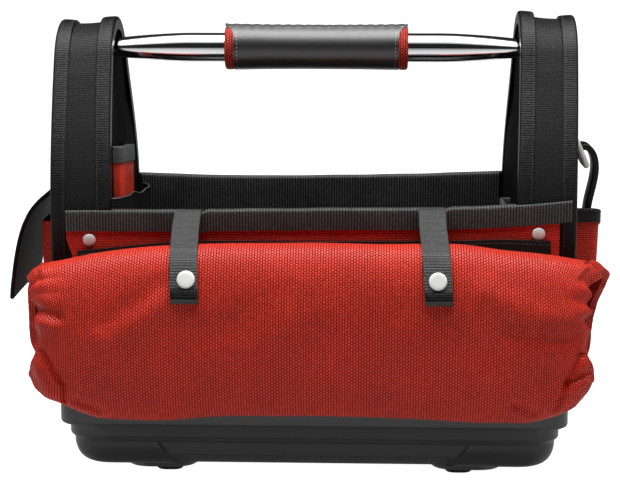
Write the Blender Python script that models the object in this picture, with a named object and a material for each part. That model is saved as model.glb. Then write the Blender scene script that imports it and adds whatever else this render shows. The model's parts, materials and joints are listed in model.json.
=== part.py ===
"""Open soft tool bag: moulded base, two padded end hoops, a tube handle with a leather grip,
a rolled cover held by two snap straps, end pockets, a side flap and a tool ring.

Lengths are in metres, written as millimetres times MM. +X is to the right and +Z is up.
The bag stands on Z = 0, its front with the rolled cover facing -Y.
Every piece is worked out about the middle of the bag's body, with the runners standing on
STAND_Z, and then moved by SHIFT_X, SHIFT_Y and SHIFT_Z, which puts the origin on the floor under
the middle of the whole object.
"""
import math

import bmesh
import bpy
from mathutils import Matrix, Vector

MM = 0.001
TURN = 2 * math.pi

# Clearances
TOUCH = 0.3 * MM
SHANK_CLEARANCE = 0.4 * MM
OVERRUN = 3.0 * MM
MITRE_LIMIT_SHARE = 0.3

# Runners and moulded base
STAND_Z = -5.0 * MM
RUNNER_WIDTH = 25.0 * MM
RUNNER_LENGTH = 154.0 * MM
RUNNER_HEIGHT = 3.7 * MM
RUNNER_CHAMFER = 1.6 * MM
RUNNER_X = 133.7 * MM
SKID_X = 140.7 * MM
SKID_WIDTH = 64.0 * MM
SKID_LENGTH = 160.0 * MM
SKID_HEIGHT = 5.0 * MM
SKID_RADIUS = 24.0 * MM
SKID_TAPER = 5.0 * MM
TRAY_HALF_X = 223.0 * MM
TRAY_HALF_Y = 95.0 * MM
TRAY_PLAN_RADIUS = 22.0 * MM
TRAY_CURVE_X = 14.0 * MM
TRAY_CURVE_Y = 12.0 * MM
TRAY_CURVE_RISE = 25.0 * MM
TRAY_CURVE_STEPS = 4
GROOVE_HEIGHT = 3.0 * MM
GROOVE_DEPTH = 1.6 * MM
STEP_OUT_X = 4.4 * MM
STEP_OUT_Y = 4.2 * MM
STEP_HEIGHT = 13.0 * MM
LIP_ROUND = 3.4 * MM
LIP_CORNER_SHARE = 0.33
LIP_HEIGHT = 22.0 * MM
LIP_WALL = 2.8 * MM
LIP_RADIUS = 17.0 * MM
LIP_INNER_RADIUS = 11.0 * MM
LIP_CLEARANCE = 0.7 * MM
TRAY_WALL = 2.6 * MM
FLOOR_THICKNESS = 3.3 * MM
RECESS_HALF_LENGTH = 135.0 * MM
RECESS_DEPTH = 6.0 * MM
RECESS_RIDGE_DEPTH = 4.2 * MM
RECESS_UNDERCUT = 22.5 * MM
RECESS_RIDGE_HEIGHT = 11.0 * MM
RECESS_SLANT_SHARE = 0.5
BOARD_CLEARANCE = 2.0 * MM
BOARD_THICKNESS = 3.7 * MM

# Body walls, measured from the middle of the bag
BODY_HALF_Y = 102.0 * MM
PANEL_HALF_X = 213.0 * MM
PANEL_THICKNESS = 2.0 * MM
STIFFENER_THICKNESS = 2.0 * MM
LINING_THICKNESS = 1.5 * MM
RIM_Z = 245.8 * MM
RIM_WEBBING_HEIGHT = 19.2 * MM
RIM_WEBBING_THICKNESS = 1.6 * MM
PATCH_SIDE_MARGIN = 3.0 * MM
PATCH_TOP_Z = 212.0 * MM
PATCH_BOTTOM_GAP = 3.0 * MM
PATCH_CAVITY = 6.2 * MM
PATCH_WALL = 1.8 * MM

# Padded end hoops
HOOP_INNER_X = 180.3 * MM
HOOP_WIDTH = 51.2 * MM
HOOP_SIDE_CLEARANCE = 1.8 * MM
HOOP_PANEL_THICKNESS = 2.5 * MM
GUSSET_THICKNESS = 2.5 * MM
BINDING_THICKNESS = 1.9 * MM
BINDING_LEG_THICKNESS = 1.3 * MM
BINDING_WIDTH = 14.0 * MM
BINDING_LEG_WIDTH = 12.0 * MM
ARCH_TOP_Z = 404.2 * MM
ARCH_RADIUS = 52.0 * MM
ARCH_SPRING_Z = 235.0 * MM
ARCH_SPRING_PULL = 45.0 * MM
ARCH_CROWN_PULL = 50.0 * MM
ARCH_CROWN_ANGLE = math.radians(27)
ARCH_FLANK_STEPS = 4
ARCH_CROWN_STEPS = 10
FRAME_BAR_THICKNESS = 3.0 * MM
FRAME_BAR_WIDTH = 36.0 * MM

# Handle tube, pressed flat at both ends, and what holds it
TUBE_RADIUS = 13.45 * MM
TUBE_WALL = 1.5 * MM
TUBE_Z = 380.0 * MM
TUBE_ROUND_HALF = 95.0 * MM
TUBE_PANEL_HALF_HEIGHT = 9.6 * MM
TUBE_FLAT_HALF_HEIGHT = 4.0 * MM
TUBE_FLAT_LENGTH = 15.0 * MM
TUBE_END_X = 212.0 * MM
TUBE_SIDES = 20
TUBE_PRESS_STEPS = 5
BRACKET_THICKNESS = 3.0 * MM
BRACKET_HALF_WIDTH = 9.0 * MM
BRACKET_END_GAP = 1.5 * MM
CORE_SLOT_MARGIN = 4.0 * MM
BOLT_RADIUS = 3.0 * MM
BOLT_HEAD_RADIUS = 5.6 * MM
BOLT_HEAD_HEIGHT = 3.6 * MM
BOLT_X = 204.0 * MM
DRILL_LENGTH = 15.0 * MM

# Grip
GRIP_HALF_LENGTH = 84.5 * MM
GRIP_FOAM_THICKNESS = 3.2 * MM
GRIP_LINER_THICKNESS = 1.2 * MM
GRIP_LEATHER_THICKNESS = 1.1 * MM
GRIP_MARGIN = 7.0 * MM
GRIP_SIDES = 24
GRIP_SEAM_GAP = 5.0 * MM
LEATHER_FLARE_SHARE = 0.7

# Wall rivets
RIVET_X = 200.0 * MM
RIVET_DROP = 25.3 * MM
RIVET_HEAD_RADIUS = 5.3 * MM
RIVET_HEAD_HEIGHT = 2.2 * MM
RIVET_DOME_SHARES = ((1.0, 0.3), (0.85, 0.7), (0.5, 1.0))
RIVET_SHANK_RADIUS = 2.0 * MM
RIVET_END_GAP = 0.5 * MM

# Rolled cover
ROLL_HALF_LENGTH = 255.0 * MM
ROLL_OFFSET_X = 2.0 * MM
ROLL_DEPTH = 66.0 * MM
ROLL_TOP_Z = 222.0 * MM
ROLL_BOTTOM_Z = 68.0 * MM
ROLL_ROUNDNESS_SHARE = 0.77
ROLL_GAP = 0.4 * MM
ROLL_WRAP = 24.0 * MM
ROLL_WRAP_CLEARANCE = 4.0 * MM
ROLL_SIDES = 32
ROLL_PLEATS = 8
ROLL_PLEAT_DEPTH = 5.0 * MM
ROLL_HOLLOW = 12.0 * MM
ROLL_HOLLOW_SHARE = 0.46
ROLL_WRAP_START_SHARE = 0.955
# Along the half length: place, drop of the top, rise of the bottom, loss of depth, pleat depth
ROLL_STATION_SHARES = (
    (0.0, 0.0, 0.015, 0.0, 0.0),
    (0.30, 0.006, 0.008, 0.0, 0.0),
    (0.55, 0.024, -0.020, 0.0, 0.0),
    (0.72, 0.055, -0.028, 0.0, 0.10),
    (0.82, 0.085, 0.015, 0.02, 0.35),
    (0.90, 0.125, 0.080, 0.08, 0.75),
    (ROLL_WRAP_START_SHARE, 0.150, 0.150, 0.18, 1.0),
    (0.985, 0.190, 0.210, 0.32, 1.0),
    (1.0, 0.260, 0.290, 0.50, 0.8),
)

# Snap straps
STRAP_X = 108.4 * MM
STRAP_WIDTH = 24.0 * MM
STRAP_THICKNESS = 1.8 * MM
STRAP_RIM_CLEARANCE = 0.7 * MM
STRAP_HINGE_RISE = 2.1 * MM
STRAP_HINGE_IN = 0.5 * MM
STRAP_STRAIGHT = 5.4 * MM
STRAP_END_Z = 175.0 * MM
STRAP_LIFT_START = 0.6 * MM
STRAP_LIFT_END = 4.2 * MM
STRAP_HEM_LENGTH = 8.0 * MM
STRAP_HEM_EXTRA = 1.4 * MM
STRAP_TAIL_LENGTH = 32.0 * MM
STRAP_TAIL_GAP = 2.7 * MM
STRAP_START_ANGLE = math.radians(106)
STRAP_STEPS = 9
SEARCH_STEPS = 30
SLOPE_STEPS = 720
SNAP_Z = 195.5 * MM
SNAP_RADIUS = 7.5 * MM
SNAP_HEIGHT = 3.0 * MM
SNAP_SHANK_RADIUS = 2.2 * MM
SNAP_SOCKET_RADIUS = 4.6 * MM
SNAP_SOCKET_HEIGHT = 0.5 * MM
SNAP_SOCKET_GAP = 0.7 * MM
SNAP_DOME_SHARES = ((1.0, 0.0), (1.0, 0.35), (0.86, 0.75), (0.5, 1.0))
STUD_RADIUS = 5.0 * MM
STUD_GAP = 0.6 * MM
STUD_HEIGHT = 0.8 * MM
STUD_SHARES = ((1.0, 0.0), (1.0, 0.5), (0.5, 0.5), (0.4, 1.0))
SEAT_STEPS = 90
SNAP_SIDES = 20

# Side flap and pockets on the ends
FLAP_HINGE_Z = 258.0 * MM
FLAP_HINGE_OUT = 2.6 * MM
FLAP_THICKNESS = 4.0 * MM
FLAP_HALF_WIDTH = 70.0 * MM
FLAP_DROP = 101.6 * MM
FLAP_REACH = 41.0 * MM
FLAP_SHARES = ((0.0, 0.0), (0.10, 0.035), (0.46, 0.18), (0.71, 0.37), (0.84, 0.575),
               (0.95, 0.80), (1.0, 0.95), (0.96, 1.0))
LEFT_POCKET_HALF_Y = 62.0 * MM
LEFT_POCKET_REACH = 17.0 * MM
LEFT_POCKET_TOP_Z = 226.0 * MM
RIGHT_POCKET_HALF_Y = 60.0 * MM
RIGHT_POCKET_REACH = 28.0 * MM
RIGHT_POCKET_FOOT_SHARE = 0.6
RIGHT_POCKET_TOP_Z = 240.8 * MM
RIGHT_POCKET_BACK_DROP = 38.0 * MM
POCKET_WALL = 1.8 * MM
POCKET_CORNER = 8.0 * MM
POCKET_BELLY_RISE_SHARE = 0.33
POCKET_BELLY_SHARE = 0.75
POCKET_BINDING_HEIGHT = 11.5 * MM
POCKET_BINDING_THICKNESS = 1.5 * MM

# Tool loop and steel ring on the right end
LOOP_WIDTH = 24.0 * MM
LOOP_Y = -40.0 * MM
LOOP_FOOT_Z = 222.0 * MM
LOOP_SEAM_Z = 251.0 * MM
LOOP_HEIGHT = 50.0 * MM
LOOP_REACH = 24.5 * MM
LOOP_THICKNESS = 3.4 * MM
LOOP_OUTER_SHARES = ((0.0, 0.12), (0.03, 0.55), (0.12, 0.80), (0.34, 0.985), (0.58, 1.0),
                     (0.82, 0.93), (0.95, 0.74), (0.97, 0.48), (0.75, 0.0))
LOOP_HOLE_SHARES = ((0.40, 0.0), (0.23, 0.30), (0.22, 0.62), (0.34, 0.86), (0.55, 0.93),
                    (0.73, 0.85), (0.83, 0.66), (0.78, 0.33))
RING_BAR_RADIUS = 2.2 * MM
RING_WIDTH = 37.0 * MM
RING_DROP = 27.5 * MM
RING_CORNER = 7.0 * MM
RING_LEAN = math.radians(23.7)
RING_HINGE_Z = 303.5 * MM
RING_PANEL_GAP = 0.6 * MM
RING_BAR_SIDES = 10
RING_CORNER_STEPS = 4
TAB_THICKNESS = 1.2 * MM
TAB_HALF_WIDTH = 8.0 * MM
TAB_DROP = 16.0 * MM
TAB_CLEARANCE = 0.4 * MM
TAB_BOW_STEPS = 7
TAB_BOW_SHARE = 0.66

# Pockets inside the end walls
TALL_POCKET_FRONT_Y = -67.0 * MM
TALL_POCKET_BACK_Y = 12.0 * MM
TALL_POCKET_TOP_Z = 290.0 * MM
TALL_POCKET_BOTTOM_Z = 120.0 * MM
TALL_POCKET_DEPTH = 7.6 * MM
LOW_POCKET_HALF_Y = 80.0 * MM
LOW_POCKET_TOP_Z = 240.0 * MM
LOW_POCKET_BOTTOM_Z = 116.0 * MM
LOW_POCKET_REACH = 23.0 * MM
LOW_POCKET_PLAN_SHARES = ((0.0, 1.0), (0.30, 1.0), (0.80, 0.72), (1.0, 0.42))
LOW_POCKET_PLEAT_SHARE = 0.66
LOW_POCKET_FOOT_SHARE = 0.55
RIGHT_INNER_FRONT_Y = -76.0 * MM
RIGHT_INNER_BACK_Y = -2.0 * MM
RIGHT_INNER_TOP_Z = 240.0 * MM
RIGHT_INNER_BOTTOM_Z = 130.0 * MM
RIGHT_INNER_DEPTH = 9.0 * MM
INNER_POCKET_WALL = 1.6 * MM
INNER_POCKET_CORNER = 3.0 * MM

# Heights that stack up from the runners
SKID_BOTTOM_Z = STAND_Z + RUNNER_HEIGHT + TOUCH
TRAY_BOTTOM_Z = SKID_BOTTOM_Z + SKID_HEIGHT
GROOVE_Z = TRAY_BOTTOM_Z + TRAY_CURVE_RISE
STEP_Z = GROOVE_Z + GROOVE_HEIGHT
LIP_Z = STEP_Z + STEP_HEIGHT
LIP_TOP_Z = LIP_Z + LIP_ROUND + LIP_HEIGHT
LEDGE_Z = LIP_Z + LIP_ROUND + TOUCH
TRAY_FLOOR_Z = TRAY_BOTTOM_Z + FLOOR_THICKNESS
BOARD_BOTTOM_Z = TRAY_FLOOR_Z + TOUCH
BOARD_TOP_Z = BOARD_BOTTOM_Z + BOARD_THICKNESS
WALL_FOOT_Z = LEDGE_Z + TOUCH
WALL_TOP_Z = RIM_Z - RIM_WEBBING_THICKNESS - TOUCH
OVER_LIP_Z = LIP_TOP_Z + TOUCH
RIVET_Z = RIM_Z - RIVET_DROP

# Distances from the middle that stack up through the walls
PATCH_HALF_X = PANEL_HALF_X - PATCH_SIDE_MARGIN
BRACKET_INNER_X = TUBE_END_X - TUBE_FLAT_LENGTH + TOUCH
HOOP_OUTER_X = HOOP_INNER_X + HOOP_WIDTH
INNER_PANEL_X = HOOP_INNER_X + BINDING_LEG_THICKNESS + TOUCH
OUTER_PANEL_X = HOOP_OUTER_X - BINDING_LEG_THICKNESS - TOUCH
LIP_INNER_X = HOOP_OUTER_X + LIP_CLEARANCE
LIP_INNER_Y = BODY_HALF_Y + LIP_CLEARANCE
PANEL_INNER_Y = BODY_HALF_Y - PANEL_THICKNESS
STIFFENER_Y = PANEL_INNER_Y - TOUCH
LINING_Y = STIFFENER_Y - STIFFENER_THICKNESS - TOUCH
RIM_INNER_LEG_Y = LINING_Y - LINING_THICKNESS - TOUCH
RIM_OUTER_Y = BODY_HALF_Y + TOUCH + RIM_WEBBING_THICKNESS
BETWEEN_HOOPS_X = HOOP_INNER_X - HOOP_SIDE_CLEARANCE
GUSSET_HALF_Y = PANEL_INNER_Y - BINDING_THICKNESS - 2 * TOUCH
PATCH_INNER_Y = BODY_HALF_Y + TOUCH
PATCH_OUTER_Y = PATCH_INNER_Y + PATCH_CAVITY + PATCH_WALL
ROLL_BACK_Y = PATCH_OUTER_Y + ROLL_GAP
RIGHT_REACH = OUTER_PANEL_X + TOUCH + RIGHT_POCKET_REACH + TOUCH + POCKET_BINDING_THICKNESS
LEFT_REACH = HOOP_OUTER_X + FLAP_HINGE_OUT + FLAP_REACH
SHIFT_X = (LEFT_REACH - RIGHT_REACH) / 2
SHIFT_Y = (ROLL_BACK_Y + ROLL_DEPTH + STRAP_LIFT_END + STRAP_THICKNESS - PATCH_OUTER_Y) / 2
SHIFT_Z = -STAND_Z

# Colours, roughness and metal share of each finish
FINISHES = {
    "cover_red": ((0.60, 0.045, 0.03), 0.85, 0.0),
    "panel_red": ((0.42, 0.02, 0.015), 0.85, 0.0),
    "webbing_black": ((0.035, 0.036, 0.036), 0.8, 0.0),
    "fabric_black": ((0.022, 0.023, 0.023), 0.85, 0.0),
    "lining_black": ((0.012, 0.012, 0.012), 0.8, 0.0),
    "moulded_black": ((0.03, 0.03, 0.03), 0.45, 0.0),
    "rubber_black": ((0.02, 0.02, 0.02), 0.8, 0.0),
    "board_black": ((0.03, 0.03, 0.03), 0.7, 0.0),
    "foam_grey": ((0.16, 0.16, 0.16), 0.95, 0.0),
    "mesh_red": ((0.62, 0.07, 0.04), 0.8, 0.0),
    "leather_black": ((0.03, 0.03, 0.032), 0.45, 0.0),
    "tube_chrome": ((0.75, 0.75, 0.75), 0.12, 1.0),
    "steel_satin": ((0.6, 0.6, 0.6), 0.35, 1.0),
    "steel_dark": ((0.25, 0.25, 0.26), 0.5, 1.0),
}


# Scene and materials
def clear_scene():
    for item in list(bpy.data.objects):
        bpy.data.objects.remove(item, do_unlink=True)


def finish(name, finish_name):
    colour, roughness, metallic = FINISHES[finish_name]
    material = bpy.data.materials.new(name + "_" + finish_name)
    material.use_nodes = True
    shader = material.node_tree.nodes["Principled BSDF"]
    shader.inputs["Base Color"].default_value = (*colour, 1.0)
    shader.inputs["Roughness"].default_value = roughness
    shader.inputs["Metallic"].default_value = metallic
    return material


def make_object(name, mesh_data, finish_name, pivot=(0.0, 0.0, 0.0), smooth=False):
    """Turn a bmesh in body coordinates into a named object whose origin is its pivot."""
    bmesh.ops.recalc_face_normals(mesh_data, faces=mesh_data.faces)
    bmesh.ops.translate(mesh_data, vec=-Vector(pivot), verts=mesh_data.verts)
    mesh = bpy.data.meshes.new(name)
    mesh_data.to_mesh(mesh)
    mesh_data.free()
    item = bpy.data.objects.new(name, mesh)
    bpy.context.scene.collection.objects.link(item)
    item.location = Vector(pivot) + Vector((SHIFT_X, SHIFT_Y, SHIFT_Z))
    if finish_name:
        mesh.materials.append(finish(name, finish_name))
    if smooth:
        mesh.shade_smooth()
        mesh.set_sharp_from_angle(angle=math.radians(35))
    return item


def cut(target, cutter_mesh, operation="DIFFERENCE"):
    """Cut a bmesh away from an object, or join it on, and keep it as a hidden guide."""
    cutter = make_object(target.name + "_cutter", cutter_mesh, None)
    cutter.hide_render = True
    cutter.display_type = "WIRE"
    cutter.parent = target
    cutter.matrix_parent_inverse = Matrix.Translation(-target.location)
    step = target.modifiers.new(operation.lower(), "BOOLEAN")
    step.operation = operation
    step.solver = "EXACT"
    step.object = cutter


# Outlines
def offset_path(points, distance, closed=False):
    """Move a 2D path sideways, to its left for a positive distance, with mitred corners."""
    moved = []
    count = len(points)
    for index, point in enumerate(points):
        before = points[index - 1] if index or closed else point
        after = points[(index + 1) % count] if index + 1 < count or closed else point
        into = (Vector(point) - Vector(before)).normalized()
        out = (Vector(after) - Vector(point)).normalized()
        if into.length == 0:
            into = out
        if out.length == 0:
            out = into
        normal = Vector((-into.y - out.y, into.x + out.x)).normalized()
        spread = max(normal.dot(Vector((-into.y, into.x))), MITRE_LIMIT_SHARE)
        moved.append((point[0] + normal.x * distance / spread,
                      point[1] + normal.y * distance / spread))
    return moved


def band(points, left, right):
    """Closed outline of a strip between two offsets of a path."""
    return offset_path(points, left) + offset_path(points, right)[::-1]


def rounded_rectangle(half_x, half_y, radius, steps=4):
    points = []
    corners = ((1, 1, 0), (-1, 1, 1), (-1, -1, 2), (1, -1, 3))
    for side_x, side_y, quarter in corners:
        for step in range(steps + 1):
            angle = (quarter + step / steps) * TURN / 4
            points.append((side_x * (half_x - radius) + radius * math.cos(angle),
                           side_y * (half_y - radius) + radius * math.sin(angle)))
    return points


def arch_path(foot_z, inset=0.0):
    """Side outline of a hoop, front foot to back foot, set in from the gusset's outer face."""
    centre_z = ARCH_TOP_Z - ARCH_RADIUS
    crown_y = ARCH_RADIUS * math.cos(ARCH_CROWN_ANGLE)
    crown_z = centre_z + ARCH_RADIUS * math.sin(ARCH_CROWN_ANGLE)
    start = Vector((GUSSET_HALF_Y, ARCH_SPRING_Z))
    first = start + Vector((0.0, ARCH_SPRING_PULL))
    end = Vector((crown_y, crown_z))
    second = end + Vector((math.sin(ARCH_CROWN_ANGLE), -math.cos(ARCH_CROWN_ANGLE))) * ARCH_CROWN_PULL
    flank = []
    for step in range(ARCH_FLANK_STEPS):
        t = step / ARCH_FLANK_STEPS
        u = 1 - t
        point = start * u ** 3 + first * 3 * u * u * t + second * 3 * u * t * t + end * t ** 3
        flank.append((point.x, point.y))
    crown = []
    sweep = math.pi - 2 * ARCH_CROWN_ANGLE
    for step in range(ARCH_CROWN_STEPS + 1):
        angle = ARCH_CROWN_ANGLE + sweep * step / ARCH_CROWN_STEPS
        crown.append((ARCH_RADIUS * math.cos(angle), centre_z + ARCH_RADIUS * math.sin(angle)))
    back = [(GUSSET_HALF_Y, foot_z)] + flank
    front = [(-y, z) for y, z in reversed(back)]
    path = back + crown + front
    return offset_path(path, inset)[::-1]


# Solids
def add_loop(mesh_data, points):
    return [mesh_data.verts.new(point) for point in points]


def bridge(mesh_data, first, second):
    count = len(first)
    for index in range(count):
        after = (index + 1) % count
        mesh_data.faces.new((first[index], first[after], second[after], second[index]))


def loft(rings, capped=True):
    """Skin a row of closed rings of 3D points and close the first and the last."""
    mesh_data = bmesh.new()
    loops = [add_loop(mesh_data, ring) for ring in rings]
    for first, second in zip(loops, loops[1:]):
        bridge(mesh_data, first, second)
    if capped:
        mesh_data.faces.new(loops[0][::-1])
        mesh_data.faces.new(loops[-1])
    else:
        bridge(mesh_data, loops[-1], loops[0])
    return mesh_data


def prism(outline, axis, low, high):
    """Extrude a closed 2D outline along X, Y or Z."""
    if axis == "X":
        rings = [[(place, a, b) for a, b in outline] for place in (low, high)]
    elif axis == "Y":
        rings = [[(a, place, b) for a, b in outline] for place in (low, high)]
    else:
        rings = [[(a, b, place) for a, b in outline] for place in (low, high)]
    return loft(rings)


def slab(x_range, y_range, z_range):
    (x0, x1), (y0, y1), (z0, z1) = x_range, y_range, z_range
    return prism(((x0, y0), (x1, y0), (x1, y1), (x0, y1)), "Z", z0, z1)


def turned(profile, sides, centre, direction):
    """Turn a profile of (radius, height) points about a direction through a centre."""
    rings = []
    for radius, height in profile:
        ring = []
        for step in range(sides):
            angle = TURN * step / sides
            ring.append((radius * math.cos(angle), radius * math.sin(angle), height))
        rings.append(ring)
    mesh_data = loft(rings)
    turn = Vector((0.0, 0.0, 1.0)).rotation_difference(Vector(direction)).to_matrix().to_4x4()
    bmesh.ops.transform(mesh_data, matrix=Matrix.Translation(Vector(centre)) @ turn,
                        verts=mesh_data.verts)
    return mesh_data


def dome(radius, base, rise, shares):
    """Profile points of a domed head above its base."""
    return [(radius * out, base + rise * up) for out, up in shares]


def rod(radius, length, sides, centre, direction):
    """Plain cylinder about a centre, used as a drill."""
    return turned(((radius, -length / 2), (radius, length / 2)), sides, centre, direction)


# Moulded base
def tray_ring(half_x, half_y, radius, z):
    return [(x, y, z) for x, y in rounded_rectangle(half_x, half_y, radius)]


def make_base_tray():
    outer = []
    for step in range(TRAY_CURVE_STEPS + 1):
        angle = TURN / 4 * step / TRAY_CURVE_STEPS
        inset_x = TRAY_CURVE_X * (1 - math.sin(angle))
        inset_y = TRAY_CURVE_Y * (1 - math.sin(angle))
        outer.append(tray_ring(TRAY_HALF_X - inset_x, TRAY_HALF_Y - inset_y, TRAY_PLAN_RADIUS,
                               TRAY_BOTTOM_Z + TRAY_CURVE_RISE * (1 - math.cos(angle))))
    groove_z = (GROOVE_Z + STEP_Z) / 2
    outer.append(tray_ring(TRAY_HALF_X - GROOVE_DEPTH, TRAY_HALF_Y - GROOVE_DEPTH,
                           TRAY_PLAN_RADIUS, groove_z))
    step_x = TRAY_HALF_X + STEP_OUT_X
    step_y = TRAY_HALF_Y + STEP_OUT_Y
    outer.append(tray_ring(step_x, step_y, TRAY_PLAN_RADIUS, STEP_Z))
    outer.append(tray_ring(step_x, step_y, TRAY_PLAN_RADIUS, LIP_Z))
    lip_x = LIP_INNER_X + LIP_WALL
    lip_y = LIP_INNER_Y + LIP_WALL
    corner = LIP_ROUND * LIP_CORNER_SHARE
    outer.append(tray_ring(lip_x - corner, lip_y - corner, LIP_RADIUS, LIP_Z + corner))
    outer.append(tray_ring(lip_x, lip_y, LIP_RADIUS, LIP_Z + LIP_ROUND))
    outer.append(tray_ring(lip_x, lip_y, LIP_RADIUS, LIP_TOP_Z))
    well_x = TRAY_HALF_X - GROOVE_DEPTH - TRAY_WALL
    well_y = TRAY_HALF_Y - RECESS_DEPTH - TRAY_WALL
    well_radius = TRAY_PLAN_RADIUS - TRAY_WALL
    inner = [
        tray_ring(LIP_INNER_X, LIP_INNER_Y, LIP_INNER_RADIUS, LIP_TOP_Z),
        tray_ring(LIP_INNER_X, LIP_INNER_Y, LIP_INNER_RADIUS, LEDGE_Z),
        tray_ring(well_x, well_y, well_radius, LEDGE_Z),
        tray_ring(well_x, well_y, well_radius, GROOVE_Z - TRAY_WALL),
        tray_ring(well_x - TRAY_CURVE_X, well_y - TRAY_CURVE_Y, well_radius, TRAY_FLOOR_Z),
    ]
    tray = make_object("base_tray", loft(outer + inner), "moulded_black", smooth=True)
    for side in (-1, 1):
        half = SKID_WIDTH / 2
        wide = rounded_rectangle(half + SKID_TAPER, SKID_LENGTH / 2 + SKID_TAPER, SKID_RADIUS)
        narrow = rounded_rectangle(half, SKID_LENGTH / 2, SKID_RADIUS)
        skid = [[(side * SKID_X + x, y, SKID_BOTTOM_Z) for x, y in narrow],
                [(side * SKID_X + x, y, TRAY_BOTTOM_Z + TOUCH) for x, y in wide]]
        cut(tray, loft(skid), "UNION")
        cut(tray, recess_cutter(side))


def recess_cutter(side):
    """Long moulded recess with a ridge, its ends slanting in towards the bottom."""
    face = TRAY_HALF_Y
    outside = face + OVERRUN
    ridge_z = TRAY_BOTTOM_Z + RECESS_RIDGE_HEIGHT
    low_z = SKID_BOTTOM_Z - OVERRUN
    profile = ((outside, GROOVE_Z), (face - RECESS_DEPTH, GROOVE_Z), (face - RECESS_RIDGE_DEPTH, ridge_z),
               (face - RECESS_UNDERCUT, low_z), (outside, low_z))
    rings = []
    for end in (-1, 1):
        ring = []
        for y, z in profile:
            slant = (z - ridge_z) * RECESS_SLANT_SHARE
            ring.append((end * (RECESS_HALF_LENGTH + slant), side * y, z))
        rings.append(ring)
    return loft(rings)


def make_runner(side, name):
    half_x = RUNNER_WIDTH / 2
    half_y = RUNNER_LENGTH / 2
    corner = half_x / 2
    rings = []
    for inset, height in ((RUNNER_CHAMFER, 0.0), (0.0, RUNNER_CHAMFER), (0.0, RUNNER_HEIGHT)):
        plan = rounded_rectangle(half_x - inset, half_y - inset, corner)
        rings.append([(side * RUNNER_X + x, y, STAND_Z + height) for x, y in plan])
    make_object(name, loft(rings), "rubber_black")


def board_half_sizes():
    """Half length and half width of the board that lies in the tray."""
    half_x = TRAY_HALF_X - GROOVE_DEPTH - TRAY_WALL - TRAY_CURVE_X - BOARD_CLEARANCE
    half_y = TRAY_HALF_Y - RECESS_DEPTH - TRAY_WALL - TRAY_CURVE_Y - BOARD_CLEARANCE
    return half_x, half_y


def make_base_board():
    half_x, half_y = board_half_sizes()
    plan = rounded_rectangle(half_x, half_y, TRAY_PLAN_RADIUS - TRAY_WALL)
    make_object("base_board", prism(plan, "Z", BOARD_BOTTOM_Z, BOARD_TOP_Z), "board_black")


# Front and back walls
def wall_slab(side, half_x, near_y, far_y, z_range):
    ys = sorted((side * near_y, side * far_y))
    return slab((-half_x, half_x), ys, z_range)


def make_wall(side, name):
    heights = (WALL_FOOT_Z, WALL_TOP_Z)
    panel = make_object(name + "_panel", wall_slab(side, PANEL_HALF_X, PANEL_INNER_Y, BODY_HALF_Y, heights),
                        "panel_red")
    drill_for_rivets(panel, side)
    make_object(name + "_stiffener",
                wall_slab(side, BETWEEN_HOOPS_X, STIFFENER_Y - STIFFENER_THICKNESS, STIFFENER_Y, heights),
                "board_black")
    make_object(name + "_lining",
                wall_slab(side, BETWEEN_HOOPS_X, LINING_Y - LINING_THICKNESS, LINING_Y, heights),
                "lining_black")
    make_rim_webbing(side, name)
    make_patch_pocket(side, name)


def make_rim_webbing(side, name):
    inner_y = RIM_INNER_LEG_Y - RIM_WEBBING_THICKNESS
    foot_z = RIM_Z - RIM_WEBBING_HEIGHT
    under_z = RIM_Z - RIM_WEBBING_THICKNESS
    outline = ((inner_y, foot_z), (RIM_INNER_LEG_Y, foot_z), (RIM_INNER_LEG_Y, under_z),
               (BODY_HALF_Y + TOUCH, under_z), (BODY_HALF_Y + TOUCH, foot_z),
               (RIM_OUTER_Y, foot_z), (RIM_OUTER_Y, RIM_Z), (inner_y, RIM_Z))
    outline = [(side * y, z) for y, z in outline]
    webbing = make_object(name + "_rim_webbing", prism(outline, "X", -PANEL_HALF_X, PANEL_HALF_X),
                          "webbing_black")
    for end in (-1, 1):
        xs = sorted((end * BETWEEN_HOOPS_X, end * (PANEL_HALF_X + OVERRUN)))
        ys = sorted((side * (inner_y - OVERRUN), side * (BODY_HALF_Y + TOUCH)))
        cut(webbing, slab(xs, ys, (foot_z - OVERRUN, RIM_Z + OVERRUN)))


def make_patch_pocket(side, name):
    bottom_z = LIP_TOP_Z + PATCH_BOTTOM_GAP
    body = wall_slab(side, PATCH_HALF_X, PATCH_INNER_Y, PATCH_OUTER_Y, (bottom_z, PATCH_TOP_Z))
    pocket = make_object(name + "_pocket", body, "fabric_black")
    cut(pocket, wall_slab(side, PATCH_HALF_X - PATCH_WALL, PATCH_INNER_Y - OVERRUN,
                          PATCH_OUTER_Y - PATCH_WALL, (bottom_z + PATCH_WALL, PATCH_TOP_Z + OVERRUN)))


def drill_for_rivets(target, wall_side):
    """Holes for the two rivets of one wall, right through the target's front or back."""
    reach = BODY_HALF_Y / 2
    for end in (-1, 1):
        cut(target, rod(RIVET_SHANK_RADIUS + SHANK_CLEARANCE, reach, 10,
                        (end * RIVET_X, wall_side * BODY_HALF_Y, RIVET_Z), (0.0, 1.0, 0.0)))


def make_rivet(end, wall_side, name):
    """Domed rivet through the wall, the gusset and the steel bar of a hoop."""
    frame_inner_y = GUSSET_HALF_Y - GUSSET_THICKNESS - TOUCH - FRAME_BAR_THICKNESS
    length = BODY_HALF_Y - frame_inner_y - RIVET_END_GAP
    profile = [(RIVET_SHANK_RADIUS, -length), (RIVET_SHANK_RADIUS, TOUCH), (RIVET_HEAD_RADIUS, TOUCH)]
    profile += dome(RIVET_HEAD_RADIUS, TOUCH, RIVET_HEAD_HEIGHT, RIVET_DOME_SHARES)
    body = turned(profile, 16, (end * RIVET_X, wall_side * BODY_HALF_Y, RIVET_Z), (0.0, wall_side, 0.0))
    make_object(name, body, "steel_satin", smooth=True)


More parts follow.
